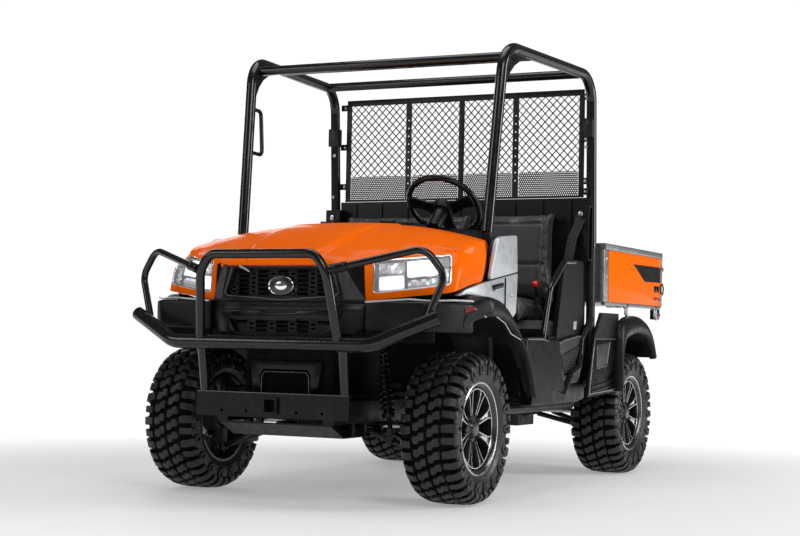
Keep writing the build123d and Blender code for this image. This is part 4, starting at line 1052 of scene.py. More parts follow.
def frontPanel():
    heights = [700, 712, 730, 750, 770, 788, 797, 806, 814, 820, 824, 829, 838, 846, 850]
    heights += [850 + 113 * k / 8 for k in range(1, 9)] + [970, 978, 984]
    shape = bmesh.new()
    rows = []
    for z in heights:
        outer = panelHalf(z)
        inner = upperHalf(min(max(z, 850), 963)) if z > 800 else lowerHalf(min(max(z, 698), 757))
        if 757 < z < 850:
            inner = 250 + (z - 757) / 93 * 18
        lefts = [-outer + (outer - inner) * k / 7 for k in range(8)]
        lefts += [-inner + 2 * inner * k / 10 for k in range(1, 10)]
        lefts += [inner + (outer - inner) * k / 7 for k in range(8)]
        rows.append((z, [shape.verts.new(at(frontAhead(y, z), y, z)) for y in lefts]))
    for (z0, near), (z1, far) in zip(rows, rows[1:]):
        hole = (z0 >= 849 and z1 <= 964) or (z0 >= 697 and z1 <= 757)
        for k in range(len(near) - 1):
            if hole and 7 <= k < 17:
                continue
            shape.faces.new((near[k], near[k + 1], far[k + 1], far[k]))
    return meshOf("frontPanel", shape)


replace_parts(thickened(pieceFrom("frontPanel", frontPanel(), mouldedBlack), 16, -1, 30), "front_fascia")
# grey cheeks between the grille and the lamps
for side, name in sides:
    rows = []
    for k in range(7):
        z = 838 + (978 - 838) * k / 6
        outer, inner = panelHalf(z) - 2, upperHalf(min(z, 963)) + 20 + 14 * (z - 838) / 140
        lefts = [inner + (outer - inner) * j / 8 for j in range(9)]
        rows.append([(frontAhead(y, z) + 3.5 - 3 * abs(j / 4 - 1) ** 3, side * y, z)
                     for j, y in enumerate(lefts)])
    sheetFrom("cheek_" + name, rows, mouldedGrey, 3.2, 0, 36)
    # the ledge round the slots, in lighter grey as a painted highlight
    ledge = [(grille["face"] + 2, side * y, z) for y, z in grille["ledge"]]
    bar("grilleLedge_" + name, ledge, 2.6, 6, paintedHighlightGrey, 10)
bar("grilleTopEdge", [(416, y, 980.5) for y in (-262, 0, 262)], 3.4, 10, orangePaint, 10)
bar("grilleTopShade", [(414.5, y, 974) for y in (-256, 0, 256)], 2.6, 10, lampRed, 10)
# raised frame round the lower slots
slab("lowerFrame", ((-290, 790), (-86, 790), (-74, 781), (74, 781), (86, 790), (290, 790), (250, 698),
                    (212, 698), (247, 756), (84, 756), (72, 747), (-72, 747), (-84, 756), (-247, 756),
                    (-212, 698), (-250, 698)), (407, 420), "X", satinBlack, 3)
# plain oval badge: a bright ring, a black ground and a plain raised middle
badge = {
    "up": 893, "halfWidth": 62, "halfHeight": 42,
    # distance ahead and share of the half size
    "Ring": ((396, 1), (410, 1), (417, 0.97), (419, 0.93), (417, 0.89), (413, 0.86), (412, 0.86)),
    "Ground": ((406, 0.88), (414, 0.87), (415.5, 0.7), (416, 0.3)),
    "Middle": ((410, 0.46), (416.5, 0.46), (418.5, 0.40), (419.5, 0.2)),
}
for part, material in (("Ring", chrome), ("Ground", wheelBlack), ("Middle", chrome)):
    shape = bmesh.new()
    loops = []
    for x, share in badge[part]:
        wide, high = badge["halfWidth"] * share, badge["halfHeight"] * share
        loops.append([shape.verts.new(at(x, wide * cos(tau * k / 48),
            badge["up"] + high * sin(tau * k / 48))) for k in range(48)])
    skinned(shape, loops)
    shape.faces.new(loops[0])
    shape.faces.new(loops[-1])
    piece = pieceFrom("badge" + part, meshOf("badge" + part, shape), material)
    sharpBy(piece.data, 40)
    if part == "Ring":
        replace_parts(piece, "badge")
bar("bonnetLatch", [(418, -150, 950), (424, -168, 966), (424, -196, 972)], 4.5, 6, brightSteel, 12)

# fenders

fender = {
    "sweepFrom": 60, "shorten": 0.4986, "drawIn": 0.49,
    "top": ((345, 800), (330, 828), (253, 838), (140, 860), (61, 864), (-20, 858), (-100, 838), (-180, 790),
            (-262, 722), (-330, 655), (-400, 580), (-460, 512), (-508, 459)),
    "arch": ((335, 716), (300, 736), (200, 765), (130, 776), (60, 782), (0, 781), (-60, 775), (-140, 752),
             (-220, 716), (-285, 668), (-340, 610), (-390, 530), (-430, 440)),
    "rearTop": ((-1640, 440), (-1640, 560), (-1640, 700), (-1660, 760), (-1690, 792), (-1760, 812),
                (-1850, 820), (-1946, 820), (-2040, 800), (-2120, 764), (-2175, 715), (-2225, 627)),
    "rearArch": ((-1660, 440), (-1668, 560), (-1682, 640), (-1700, 680), (-1730, 702), (-1790, 718),
                 (-1870, 730), (-1950, 736), (-2030, 728), (-2090, 715), (-2150, 670), (-2205, 600)),
    "section": ((724, 0.0), (745, 0.0), (768, 0.02), (784, 0.09), (793, 0.22), (798, 0.42), (800, 0.66),
                (798, 0.86), (792, 0.97), (780, 1.0), (762, 0.99)),
    "rearSection": ((757, 0.0), (766, 0.0), (780, 0.05), (790, 0.16), (797, 0.36), (800, 0.62), (797, 0.86),
                    (790, 0.97), (778, 1.0), (765, 0.99)),
    "corner": ((374, 366), (374, 560), (366, 628), (318, 673), (250, 707), (195, 733), (168, 746),
               (144, 754), (150, 690), (262, 630), (320, 366)),
    "apron": ((368, 366), (368, 560), (360, 622), (322, 660), (262, 630), (316, 366)),
    "marker": ((236, 806), (268, 802), (300, 797), (330, 792)),
    "frontLiner": ((-424, 440), (-412, 560), (-390, 640), (-350, 690), (-300, 718), (-180, 764), (-60, 785),
                   (60, 792), (200, 775), (290, 745), (330, 712)),
    "rearLiner": ((-1657, 440), (-1666, 560), (-1680, 650), (-1700, 690), (-1740, 706), (-1850, 728),
                  (-1950, 738), (-2080, 722), (-2150, 676), (-2203, 604)),
}


def swept(x, y):
    # ahead of the wheel the fender sweeps back towards the nose
    start = fender["sweepFrom"]
    ahead = max(0, x - start) * fender["shorten"]
    return (x if x < start else start + ahead, y - fender["drawIn"] * ahead)


def flare(name, top, arch, section, side):
    rows = []
    steps = (len(top) - 1) * 3
    for k in range(steps + 1):
        i, u = min(k // 3, len(top) - 2), k / 3 - min(k // 3, len(top) - 2)

        def onLine(line):
            a, b, c, d = (Vector(line[min(max(j, 0), len(line) - 1)]) for j in (i - 1, i, i + 1, i + 2))
            bent = (2 * a - 5 * b + 4 * c - d) * u * u + (3 * b - a - 3 * c + d) * u ** 3
            return 0.5 * (2 * b + (c - a) * u + bent)

        upper, lower = onLine(top), onLine(arch)
        row = []
        for y, share in section:
            spot = upper + (lower - upper) * share
            x, y = swept(spot.x, y)
            row.append((x, side * y, spot.y))
        rows.append(row)
    return sheetFrom(name, rows, mouldedBlack, 4, 0, 50)


for side, name in sides:
    front = flare("frontFlare_" + name, fender["top"], fender["arch"], fender["section"], side)
    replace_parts(front, "fenders")
    flare("rearFlare_" + name, fender["rearTop"], fender["rearArch"], fender["rearSection"], side)
    # inner liners over the wheels
    for label, low, high in (("frontLiner", 430, 732), ("rearLiner", 480, 766)):
        rows = []
        for x, z in fender[label]:
            outer = min(high, 782 - fender["drawIn"] * (x - fender["sweepFrom"]))
            rows.append([(x, side * y, z + 4) for y in (low, (low + outer) / 2, outer)])
        sheetFrom(label + "_" + name, rows, mouldedBlack, 4, 0, 60)
    slab("frontCorner_" + name, [(x, side * y) for x, y in fender["corner"]], (710, 832), "Z", mouldedBlack,
         13, 4)
    # apron under the corner in the shade black: painted shade
    slab("frontApron_" + name, [(x, side * y) for x, y in fender["apron"]], (668, 716), "Z", paintedShadeBlack, 9,
         3)
    # bright silver accent along the fender's top edge; the silver line along the flare's edge and down its
    # rear is a painted highlight
    silverLine = ((377, 372, 829), (377, 560, 834), (369, 630, 838), (318, 675, 841), (249, 709, 842),
              (194, 736, 842), (158, 753, 841))
    bar("fenderAccent_" + name, onSide(side, silverLine), 4.2, 30, silverPaint, 10)
    silverLine = ((250, 803, 829), (140, 804, 848), (61, 804, 851), (-20, 804, 845), (-98, 804, 822),
              (-176, 804, 772), (-255, 804, 700))
    silverLine = [(*swept(x, y), z - 12) for x, y, z in silverLine]
    bar("flarePaintedHighlight_" + name, onSide(side * 0.9945, silverLine), 2.2, 60, silverPaint, 8)
    # dark red marker let into the flare
    rows = [onSide(side, [(*swept(x, 799), z), (*swept(x, 799), z + 16)]) for x, z in fender["marker"]]
    sheetFrom("flareMarker_" + name, rows, lampRed, 6, 0, 40)
print("front panel and fenders made")

# silver side cowls

cowl = {
    "upper": ((-200, 1128), (-372, 1144), (-386, 1140), (-398, 984), (-100, 940), (-96, 952), (-150, 1090),
              (-172, 1118)),
    "lower": ((-98, 934), (-396, 978), (-382, 806), (-374, 800), (-268, 738), (-204, 800), (-110, 846),
              (0, 866), (150, 870), (230, 862), (236, 866), (150, 892), (0, 918)),
    "slot": ((-128, 918), (-232, 932), (-236, 914), (-140, 900)),
}
for side, name in sides:
    upper = slab("cowlUpper_" + name, cowl["upper"], (side * 704, side * 723), "Y", silverPaint, 5, 3)
    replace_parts(upper, "side_cowls")
    sweepBack(slab("cowlLower_" + name, cowl["lower"], (side * 704, side * 724), "Y", silverPaint, 5, 3))
    slab("cowlSlot_" + name, cowl["slot"], (side * 718, side * 725.5), "Y", satinBlack, 2)
    slab("cowlSlotLip_" + name, ((-138, 899), (-236, 912), (-236, 906), (-142, 893)),
         (side * 718, side * 728), "Y", silverPaint, 1.5)
    brick("cowlSeam_" + name, (-262, -259.5), (side * 716, side * 724.6), (806, 955), satinBlack, 0.5)
    bolts("cowlScrew_" + name, [(-330, side * 723.5, 880)], (0, side, 0), 5, brightSteel)
    # black band between the hood's wing and the silver panel
    slab("cowlBand_" + name, ((-252, 1112), (-304, 1126), (-206, 1126), (-176, 1110), (-154, 1086),
        (-100, 948), (-90, 930), (-52, 918), (-60, 934), (-110, 996), (-170, 1050), (-215, 1082)),
        (side * 686, side * 702), "Y", mouldedBlack, 3)
print("silver panels made")


# seats

seats = {
    "benches": (("driver", 142, 568), ("bench", -616, 118)), "voxel": 7, "pressure": 4.0, "cap": 24,
    "frames": 20, "floor": 780.8, "wall": -1344,
    "cushion": ((-846, 806), (-838, 846), (-866, 872), (-1190, 860), (-1206, 792), (-860, 790)),
    "back": ((-1262, 868), (-1250, 960), (-1282, 1310), (-1300, 1330), (-1330, 1322), (-1326, 862)),
    "channelDepth": 7, "channelWidth": 9,
}


def roundedBlock(name, outline, low, high, bevel):
    # the pad's smaller starting shape
    mesh = prism(name, [at(x, low, z) for x, z in outline], [at(x, high, z) for x, z in outline])
    piece = bpy.data.objects.new(name, mesh)
    bpy.context.scene.collection.objects.link(piece)
    edges = piece.modifiers.new("edges", "BEVEL")
    edges.width, edges.segments, edges.limit_method = bevel / 1000, 4, "ANGLE"
    applyAll(piece)
    remesh = piece.modifiers.new("even", "REMESH")
    remesh.mode, remesh.voxel_size = "VOXEL", seats["voxel"] / 1000
    applyAll(piece)
    return piece


def restOf(piece):
    return [v.co.copy() for v in piece.data.vertices]


def blowUp(pads):
    # pressure fills every pad at once; no point may go further than the cap
    rests = [restOf(pad) for pad in pads]
    scene = bpy.context.scene
    for pad in pads:
        cloth = pad.modifiers.new("filling", "CLOTH")
        cloth.settings.quality = 4
        cloth.settings.use_pressure = True
        cloth.settings.uniform_pressure_force = seats["pressure"]
        cloth.settings.effector_weights.gravity = 0
        cloth.settings.tension_stiffness = cloth.settings.compression_stiffness = 12
        cloth.settings.bending_stiffness = 0.6
        cloth.collision_settings.use_collision = False
        cloth.point_cache.frame_start, cloth.point_cache.frame_end = 1, seats["frames"]
    for step in range(1, seats["frames"] + 1):
        scene.frame_set(step)
    for pad, rest in zip(pads, rests):
        applyAll(pad)
        limit = seats["cap"] / 1000
        for vertex, start in zip(pad.data.vertices, rest):
            move = vertex.co - start
            if move.length > limit:
                vertex.co = start + move.normalized() * limit
    scene.frame_set(1)


def sewn(pad, planes):
    # channels are drawn in along sewing lines; each plane is an axis and a place in millimetres
    depth, width = seats["channelDepth"] / 1000, seats["channelWidth"] / 1000
    normals = [v.normal.copy() for v in pad.data.vertices]
    for vertex, normal in zip(pad.data.vertices, normals):
        for axis, place, low, high in planes:
            spot = at(*[place if k == axis else 0 for k in range(3)])[axis]
            other = 1000 * vertex.co[2 if axis == 1 else 1]
            if low <= other <= high:
                far = abs(vertex.co[axis] - spot)
                vertex.co -= normal * depth * exp(-(far / width) ** 2)


def threadOver(pad, axis, place, low, high, name):
    # a row of stitches laid over the pad's face beside a channel
    tree = BVHTree.FromPolygons([v.co for v in pad.data.vertices],
        [p.vertices[:] for p in pad.data.polygons])
    parts, run = [], []
    steps = int(abs(high - low) / 4)
    for k in range(steps + 1):
        value = low + (high - low) * k / steps
        spot = (value, place) if axis == 1 else (place, value)
        if name.endswith("Top"):
            start, way = at(*spot, 1000), Vector((0, 0, -1))
        else:
            start, way = at(-1150, *spot[::-1]), Vector((-1, 0, 0))
        hit, normal, index, far = tree.ray_cast(start, way)
        run.append(hit + normal * 0.0004 if hit else None)
    offset = Vector((frontAxle / 1000, 0, 0))
    for k in range(0, steps - 1, 2):
        if run[k] and run[k + 1]:
            ends = (run[k], run[k] + (run[k + 1] - run[k]) * 0.8)
            parts.append(tubeMesh("stitch", [(spot - offset) * 1000 for spot in ends], 0.75, 6))
    if parts:
        joined(name + "_%d_%d" % (axis, int(place)), parts, seatThread)


pads, plans = [], []
for label, low, high in seats["benches"]:
    cushion = roundedBlock("cushion_" + label, seats["cushion"], low + 12, high - 12, 26)
    back = roundedBlock("back_" + label, seats["back"], low + 12, high - 12, 24)
    pads += [cushion, back]
    plans += [("cushion", label, low, high), ("back", label, low, high)]
blowUp(pads)
for pad, (kind, label, low, high) in zip(pads, plans):
    inset, crossings = (62, ((0, -905),)) if kind == "cushion" else (58, ((2, 1262), (2, 1060)))
    left, right = low + inset, high - inset
    channels = [(1, left, -2000, 2000), (1, right, -2000, 2000)]
    channels += [(*crossing, left, right) for crossing in crossings]
    if label == "bench":
        channels.append((1, (low + high) / 2, -2000, 2000))
    sewn(pad, channels)
    floorAt, backAt = seats["floor"] / 1000, at(seats["wall"], 0, 0).x
    for vertex in pad.data.vertices:
        if kind == "cushion":
            vertex.co.z = max(vertex.co.z, floorAt)
        else:
            vertex.co.x = max(vertex.co.x, backAt)
    smooth = pad.modifiers.new("smooth", "SUBSURF")
    smooth.levels = smooth.render_levels = 1
    applyAll(pad)
    pad.data.materials.clear()
    pad.data.materials.append(seatCover)
    pad.data.polygons.foreach_set("use_smooth", [True] * len(pad.data.polygons))
    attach(pad, "chassis")
    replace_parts(pad, "seat_cushions" if kind == "cushion" else "seat_backs")
    ending = "Top" if kind == "cushion" else "Face"
    for axis, place, *span in channels:
        for beside in (-7, 7):
            if axis == 1:
                span = (-1180, -870) if kind == "cushion" else (900, 1300)
            else:
                span = (low + 70, high - 70)
            threadOver(pad, axis, place + beside, *span, "stitch_%s_%s%s" % (kind, label, ending))
print("seats made")

# belts

web = {
    "thick": 2.4,
    "section": ((-0.5, 0.6), (-0.44, 0.5), (0, 0.42), (0.44, 0.5), (0.5, 0.6), (0.5, -0.6), (0.44, -0.5),
                (-0.44, -0.5), (-0.5, -0.6)),
}


def strap(name, points, width):
    # webbing as a flat strip along a path, woven edges a little thicker
    path = [Vector(p) for p in roundedPath(points, 40)]
    side = Vector((0, 1, 0))
    shape = bmesh.new()
    rows = []
    for k, spot in enumerate(path):
        forward = (path[min(k + 1, len(path) - 1)] - path[max(k - 1, 0)]).normalized()
        across = (side - forward * side.dot(forward)).normalized()
        up = forward.cross(across)
        rows.append([shape.verts.new(at(*(spot + across * a * width + up * b * web["thick"])))
                     for a, b in web["section"]])
    skinned(shape, rows)
    shape.faces.new(rows[0])
    shape.faces.new(rows[-1][::-1])
    sharpBy(pieceFrom(name, meshOf(name, shape), beltWeb).data, 60)


for side, name in sides:
    # retractor box with an arched recess, shoulder loop, webbing and buckle
    slab("beltBox_" + name, ((-1350, 1082), (-1300, 1082), (-1298, 1300), (-1308, 1340), (-1322, 1350),
        (-1350, 1350)), (side * 652, side * 730), "Y", mouldedBlack, 7, 3)
    arch = [(side * (691 + 26 * cos(radians(a))), 1262 + 40 * sin(radians(a))) for a in range(0, 181, 20)]
    slab("beltArch_" + name, arch + [(side * 665, 1130), (side * 717, 1130)], (-1299.5, -1294), "X",
         satinBlack, 4)
    strap("beltShoulder_" + name, [(-1292, side * 690, 1286), (-1286, side * 688, 1180),
        (-1262, side * 664, 1010), (-1236, side * 636, 900)], 46)
    brick("beltTongue_" + name, (-1262, -1250), (side * 640, side * 684), (968, 1002), brightSteel, 3)
    bolts("beltBolt_" + name, [(-1291, side * 690, 1310)], (1, 0, 0), 9, brightSteel)
for k, left in enumerate((150, 100, -250)):
    strap("buckleStrap_%d" % k, [(-1238, left, 800), (-1222, left, 880), (-1206, left, 920)], 30)
    slab("buckle_%d" % k, [(-1214, 916), (-1190, 912), (-1182, 968), (-1206, 972)], (left - 17, left + 17),
         "Y", mouldedBlack, 5, 3)
    slab("buckleButton_%d" % k, [(-1207, 969), (-1183, 965), (-1182, 972), (-1206, 976)],
         (left - 11, left + 11), "Y", buckleOrange, 2)
print("belts made")

# rear screen

screen = {"ahead": -1395, "halfLow": 667, "cell": (41, 42), "strand": 5.2, "sheetTop": 1530, "hole": 3.1,
          "pitch": 10.5}


def perforated(name, ahead, lefts, ups, holes, radius):
    # a flat bar with a row of round holes along its longer way
    shape = bmesh.new()
    wide = lefts[1] - lefts[0] > ups[1] - ups[0]
    start, end = (lefts if wide else ups)
    pitch = (end - start) / holes
    for k in range(holes):
        a0, a1 = start + pitch * k, start + pitch * (k + 1)
        box = (a0, ups[0], a1, ups[1]) if wide else (lefts[0], a0, lefts[1], a1)
        centre = ((box[0] + box[2]) / 2, (box[1] + box[3]) / 2)
        loops = []
        for x, inner in ((ahead + 2, False), (ahead + 2, True), (ahead - 2, True), (ahead - 2, False)):
            loop = []
            for j in range(16):
                turn = tau * (j + 0.5) / 16
                y, z = cos(turn), sin(turn)
                if inner:
                    y, z = y * radius, z * radius
                else:
                    reach = min((box[2] - box[0]) / 2 / abs(y), (box[3] - box[1]) / 2 / abs(z))
                    y, z = y * reach, z * reach
                loop.append(shape.verts.new(at(x, centre[0] + y, centre[1] + z)))
            loops.append(loop)
        skinned(shape, loops)
    bmesh.ops.remove_doubles(shape, verts=shape.verts, dist=1e-6)
    pieceFrom(name, meshOf(name, shape, False), frameBlack)


def diamondMesh(name, low, high, bottom, top):
    # expanded metal: diamonds with flat strands
    shape = bmesh.new()
    columns, rowsUp = round((high - low) / screen["cell"][0]), round((top - bottom) / screen["cell"][1])
    wide, tall = (high - low) / columns, (top - bottom) / rowsUp
    inset = screen["strand"] / 2 * hypot(wide, tall) / wide / tall * 2
    whole = ((wide / 2, 0), (0, tall / 2), (-wide / 2, 0), (0, -tall / 2))
    cells = [(low + wide * (i + 0.5), bottom + tall * (j + 0.5), whole) for i in range(columns)
             for j in range(rowsUp)]
    cells += [(low + wide * i, bottom + tall * j, whole) for i in range(1, columns)
              for j in range(1, rowsUp)]
    for j in range(1, rowsUp):
        cells += [(low, bottom + tall * j, ((wide / 2, 0), (0, tall / 2), (0, -tall / 2))),
                  (high, bottom + tall * j, ((0, tall / 2), (-wide / 2, 0), (0, -tall / 2)))]
    for i in range(1, columns):
        cells += [(low + wide * i, bottom, ((wide / 2, 0), (0, tall / 2), (-wide / 2, 0))),
                  (low + wide * i, top, ((wide / 2, 0), (-wide / 2, 0), (0, -tall / 2)))]
    for cy, cz, tips in cells:
        middle = (sum(p[0] for p in tips) / len(tips), sum(p[1] for p in tips) / len(tips))
        inner = [(middle[0] + (y - middle[0]) * (1 - inset), middle[1] + (z - middle[1]) * (1 - inset))
                 for y, z in tips]
        rings = [[shape.verts.new(at(screen["ahead"] + out, cy + y, cz + z)) for y, z in ring]
                 for ring, out in ((tips, 1.2), (inner, 1.2), (inner, -1.2), (tips, -1.2))]
        skinned(shape, rings)
    pieceFrom(name, meshOf(name, shape, False), frameBlack)


def holedSheet(name, low, high, bottom, top):
    # a sheet punched with small holes in staggered rows
    shape = bmesh.new()
    columns, rowsUp = round((high - low) / screen["pitch"]), round((top - bottom) / screen["pitch"])
    wide, tall = (high - low) / columns, (top - bottom) / rowsUp
    for j in range(rowsUp):
        shifted = j % 2
        for i in range(columns - shifted):
            cy, cz = low + wide * (i + 0.5 + shifted / 2), bottom + tall * (j + 0.5)
            rings = []
            for out, hole in ((1, False), (1, True), (-1, True), (-1, False)):
                ring = []
                for k in range(8):
                    y, z = cos(tau * (k + 0.5) / 8), sin(tau * (k + 0.5) / 8)
                    reach = screen["hole"] if hole else min(wide / 2 / abs(y), tall / 2 / abs(z))
                    ring.append(shape.verts.new(at(screen["ahead"] + out, cy + y * reach, cz + z * reach)))
                rings.append(ring)
            skinned(shape, rings)
            # the corners of the cell
            for k, (sy, sz) in enumerate(((1, 1), (-1, 1), (-1, -1), (1, -1))):
                for ring, out in ((rings[0], 1), (rings[3], -1)):
                    corner = shape.verts.new(at(screen["ahead"] + out, cy + sy * wide / 2,
                        cz + sz * tall / 2))
                    shape.faces.new((ring[2 * k], ring[2 * k + 1], corner))
    pieceFrom(name, meshOf(name, shape, False), frameBlack)


bottomBar = brick("screenBottom", (-1399, -1391), (-screen["halfLow"], screen["halfLow"]), (1399, 1409),
                  frameBlack, 2)
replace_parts(bottomBar, "rear_screen")
brick("screenTop", (-1399, -1391), (-664, 664), (1907, 1938), frameBlack, 2)
for side, name in sides:
    brick("screenSide_" + name, (-1399, -1391), (side * 638, side * 666), (1408, 1910), frameBlack, 2)
    perforated("screenBar_" + name, screen["ahead"] + 2, sorted((side * 284, side * 316)), (1470, 1840), 9,
               4)
    for k, (low, high) in enumerate(((1408, 1470), (1840, 1910))):
        brick("screenBarEnd_%s_%d" % (name, k), (-1395, -1391), (side * 284, side * 316), (low, high),
              frameBlack, 0)
    for k, height in enumerate((1480, 1690, 1900)):
        brick("screenTab_%s_%d" % (name, k), (-1400, -1390), (side * 662, side * 700),
              (height - 16, height + 16), frameBlack, 2)
    bolts("screenBolts_" + name, [(-1390, side * 676, height) for height in (1480, 1690, 1900)], (1, 0, 0),
          6, brightSteel)
brick("screenMiddle", (-1399, -1391), (-15, 15), (1408, 1910), frameBlack, 2)
for k, (low, high) in enumerate(((-640, -314), (-286, -13), (13, 286), (314, 640))):
    diamondMesh("screenMesh_%d" % k, low, high, screen["sheetTop"], 1909)
    holedSheet("screenSheet_%d" % k, low, high, 1408, screen["sheetTop"])
print("screen made")


# lower sides of the cab

lowerSide = {
    "step": ((-524, 462), (-434, 572), (-434, 696), (-850, 696), (-925, 482), (-1093, 482), (-1200, 482),
             (-1200, 410), (-1093, 396), (-500, 396), (-512, 420)),
    "seatPanel": ((-866, 660), (-872, 676), (-1000, 690), (-1200, 712), (-1290, 716), (-1258, 600),
                  (-1205, 500), (-1180, 486), (-985, 470), (-964, 480)),
    "seatInset": ((-958, 622), (-1205, 668), (-1182, 570), (-1143, 512), (-990, 530)),
    "rearPanel": ((-1336, 700), (-1700, 716), (-1736, 704), (-1690, 560), (-1660, 436), (-1262, 418),
                  (-1244, 424), (-1300, 600)),
    "insetLip": ((-1546, 684), (-1512, 572), (-1498, 562), (-1352, 554)),
    "rearInset": ((-1362, 672), (-1560, 684), (-1520, 568), (-1506, 560), (-1352, 552)),
}


def pitted(name, outline, left, side, pitch=9, dent=2.2):
    # a panel face pressed all over with small dimples, clipped to its outline
    shape = bmesh.new()
    lows = [min(p[k] for p in outline) for k in (0, 1)]
    highs = [max(p[k] for p in outline) for k in (0, 1)]
    corners = [Vector(p) for p in outline]

    def inside(p):
        count = 0
        for a, b in zip(corners, corners[1:] + corners[:1]):
            if (a.y > p[1]) != (b.y > p[1]) and p[0] < (b.x - a.x) * (p[1] - a.y) / (b.y - a.y) + a.x:
                count += 1
        return count % 2

    across, upward = int((highs[0] - lows[0]) / pitch), int((highs[1] - lows[1]) / pitch)
    turns = [tau * k / 8 for k in range(8)]
    for i in range(across):
        for j in range(upward):
            x, z = lows[0] + pitch * (i + (0.5 if j % 2 else 0)), lows[1] + pitch * j
            if not all(inside((x + dx, z + dz)) for dx in (-pitch / 2, pitch / 2)
                       for dz in (-pitch / 2, pitch / 2)):
                continue
            sizes = ((pitch * 0.46, left), (pitch * 0.2, left + side * dent))
            rings = [[shape.verts.new(at(x + size * cos(turn), y, z + size * sin(turn))) for turn in turns]
                     for size, y in sizes]
            skinned(shape, rings)
            shape.faces.new(rings[1])
    pieceFrom(name, meshOf(name, shape, False), mouldedGrey)


for side, name in sides:
    step = slab("stepSide_" + name, lowerSide["step"], (side * 696, side * 756), "Y", mouldedBlack, 15, 4)
    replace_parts(step, "side_sills")
    bar("sillTrim_" + name, onSide(side,
        ((-530, 748, 436), (-620, 752, 430), (-900, 752, 434), (-1060, 752, 446), (-1180, 748, 486),
         (-1262, 744, 560), (-1318, 736, 660), (-1370, 722, 800))), 15, 90, satinBlack)
    # edge of the step in lighter grey: painted highlight
    bar("stepEdge_" + name, onSide(side,
        ((-452, 748, 692), (-640, 749, 694), (-838, 748, 692), (-872, 749, 640), (-916, 749, 510))), 7, 30,
        paintedHighlightGrey, 12)
    slab("seatPanel_" + name, lowerSide["seatPanel"], (side * 704.6, side * 722), "Y", mouldedGrey, 6, 3)
    frameLine = [(x, side * 722, z) for x, z in lowerSide["seatPanel"]]
    # rim round the seat panel in lighter grey: painted highlight
    hoopBar("seatPanelRim_" + name, roundedPath(frameLine + frameLine[:1], 14)[:-1], 4.5, 10, paintedHighlightGrey)
    slab("seatInset_" + name, lowerSide["seatInset"], (side * 716, side * 725), "Y", mouldedBlack, 3)
    pitted("seatTexture_" + name, lowerSide["seatInset"], side * 725.2, side)
    bolts("seatPanelBolts_" + name, [(-905, side * 722, 652), (-1262, side * 722, 690)], (0, side, 0), 6,
          castDark)
    slab("rearPanel_" + name, lowerSide["rearPanel"], (side * 740, side * 756), "Y", mouldedBlack, 5, 3)
    frameLine = [(x, side * 757, z) for x, z in lowerSide["rearPanel"]]
    # rim round the rear panel in lighter grey: painted highlight
    hoopBar("rearPanelRim_" + name, roundedPath(frameLine + frameLine[:1], 16)[:-1], 5, 10, paintedHighlightGrey)
    slab("rearInset_" + name, lowerSide["rearInset"], (side * 750, side * 761), "Y", mouldedGrey, 4, 3)
    # lip of the rear inset in lighter grey: painted highlight
    bar("rearInsetLip_" + name, [(x, side * 761, z) for x, z in lowerSide["insetLip"]], 4, 10, paintedHighlightGrey, 10)
    for k, (z0, z1) in enumerate(((466, 501), (442, 474))):
        bar("rearLine_%s_%d" % (name, k), [(-1286, side * 757, z0), (-1470, side * 759, (z0 + z1) / 2),
            (-1656, side * 757, z1)], 4.5, 20, satinBlack, 10)
    # inner edge of the seat box, with a blank light tag
    bar("seatBoxEdge_" + name, onSide(side,
        ((-850, 690, 700), (-940, 692, 704), (-1090, 692, 716), (-1128, 692, 742), (-1150, 692, 815),
         (-1200, 692, 828), (-1300, 694, 834), (-1312, 694, 880))), 8, 16, satinBlack, 12)
    slab("plainTag_" + name, ((-1172, 742), (-1212, 744), (-1214, 784), (-1174, 782)),
         (side * 703.5, side * 705.5), "Y", silverPaint, 1.5)
print("lower sides made")

# load bed

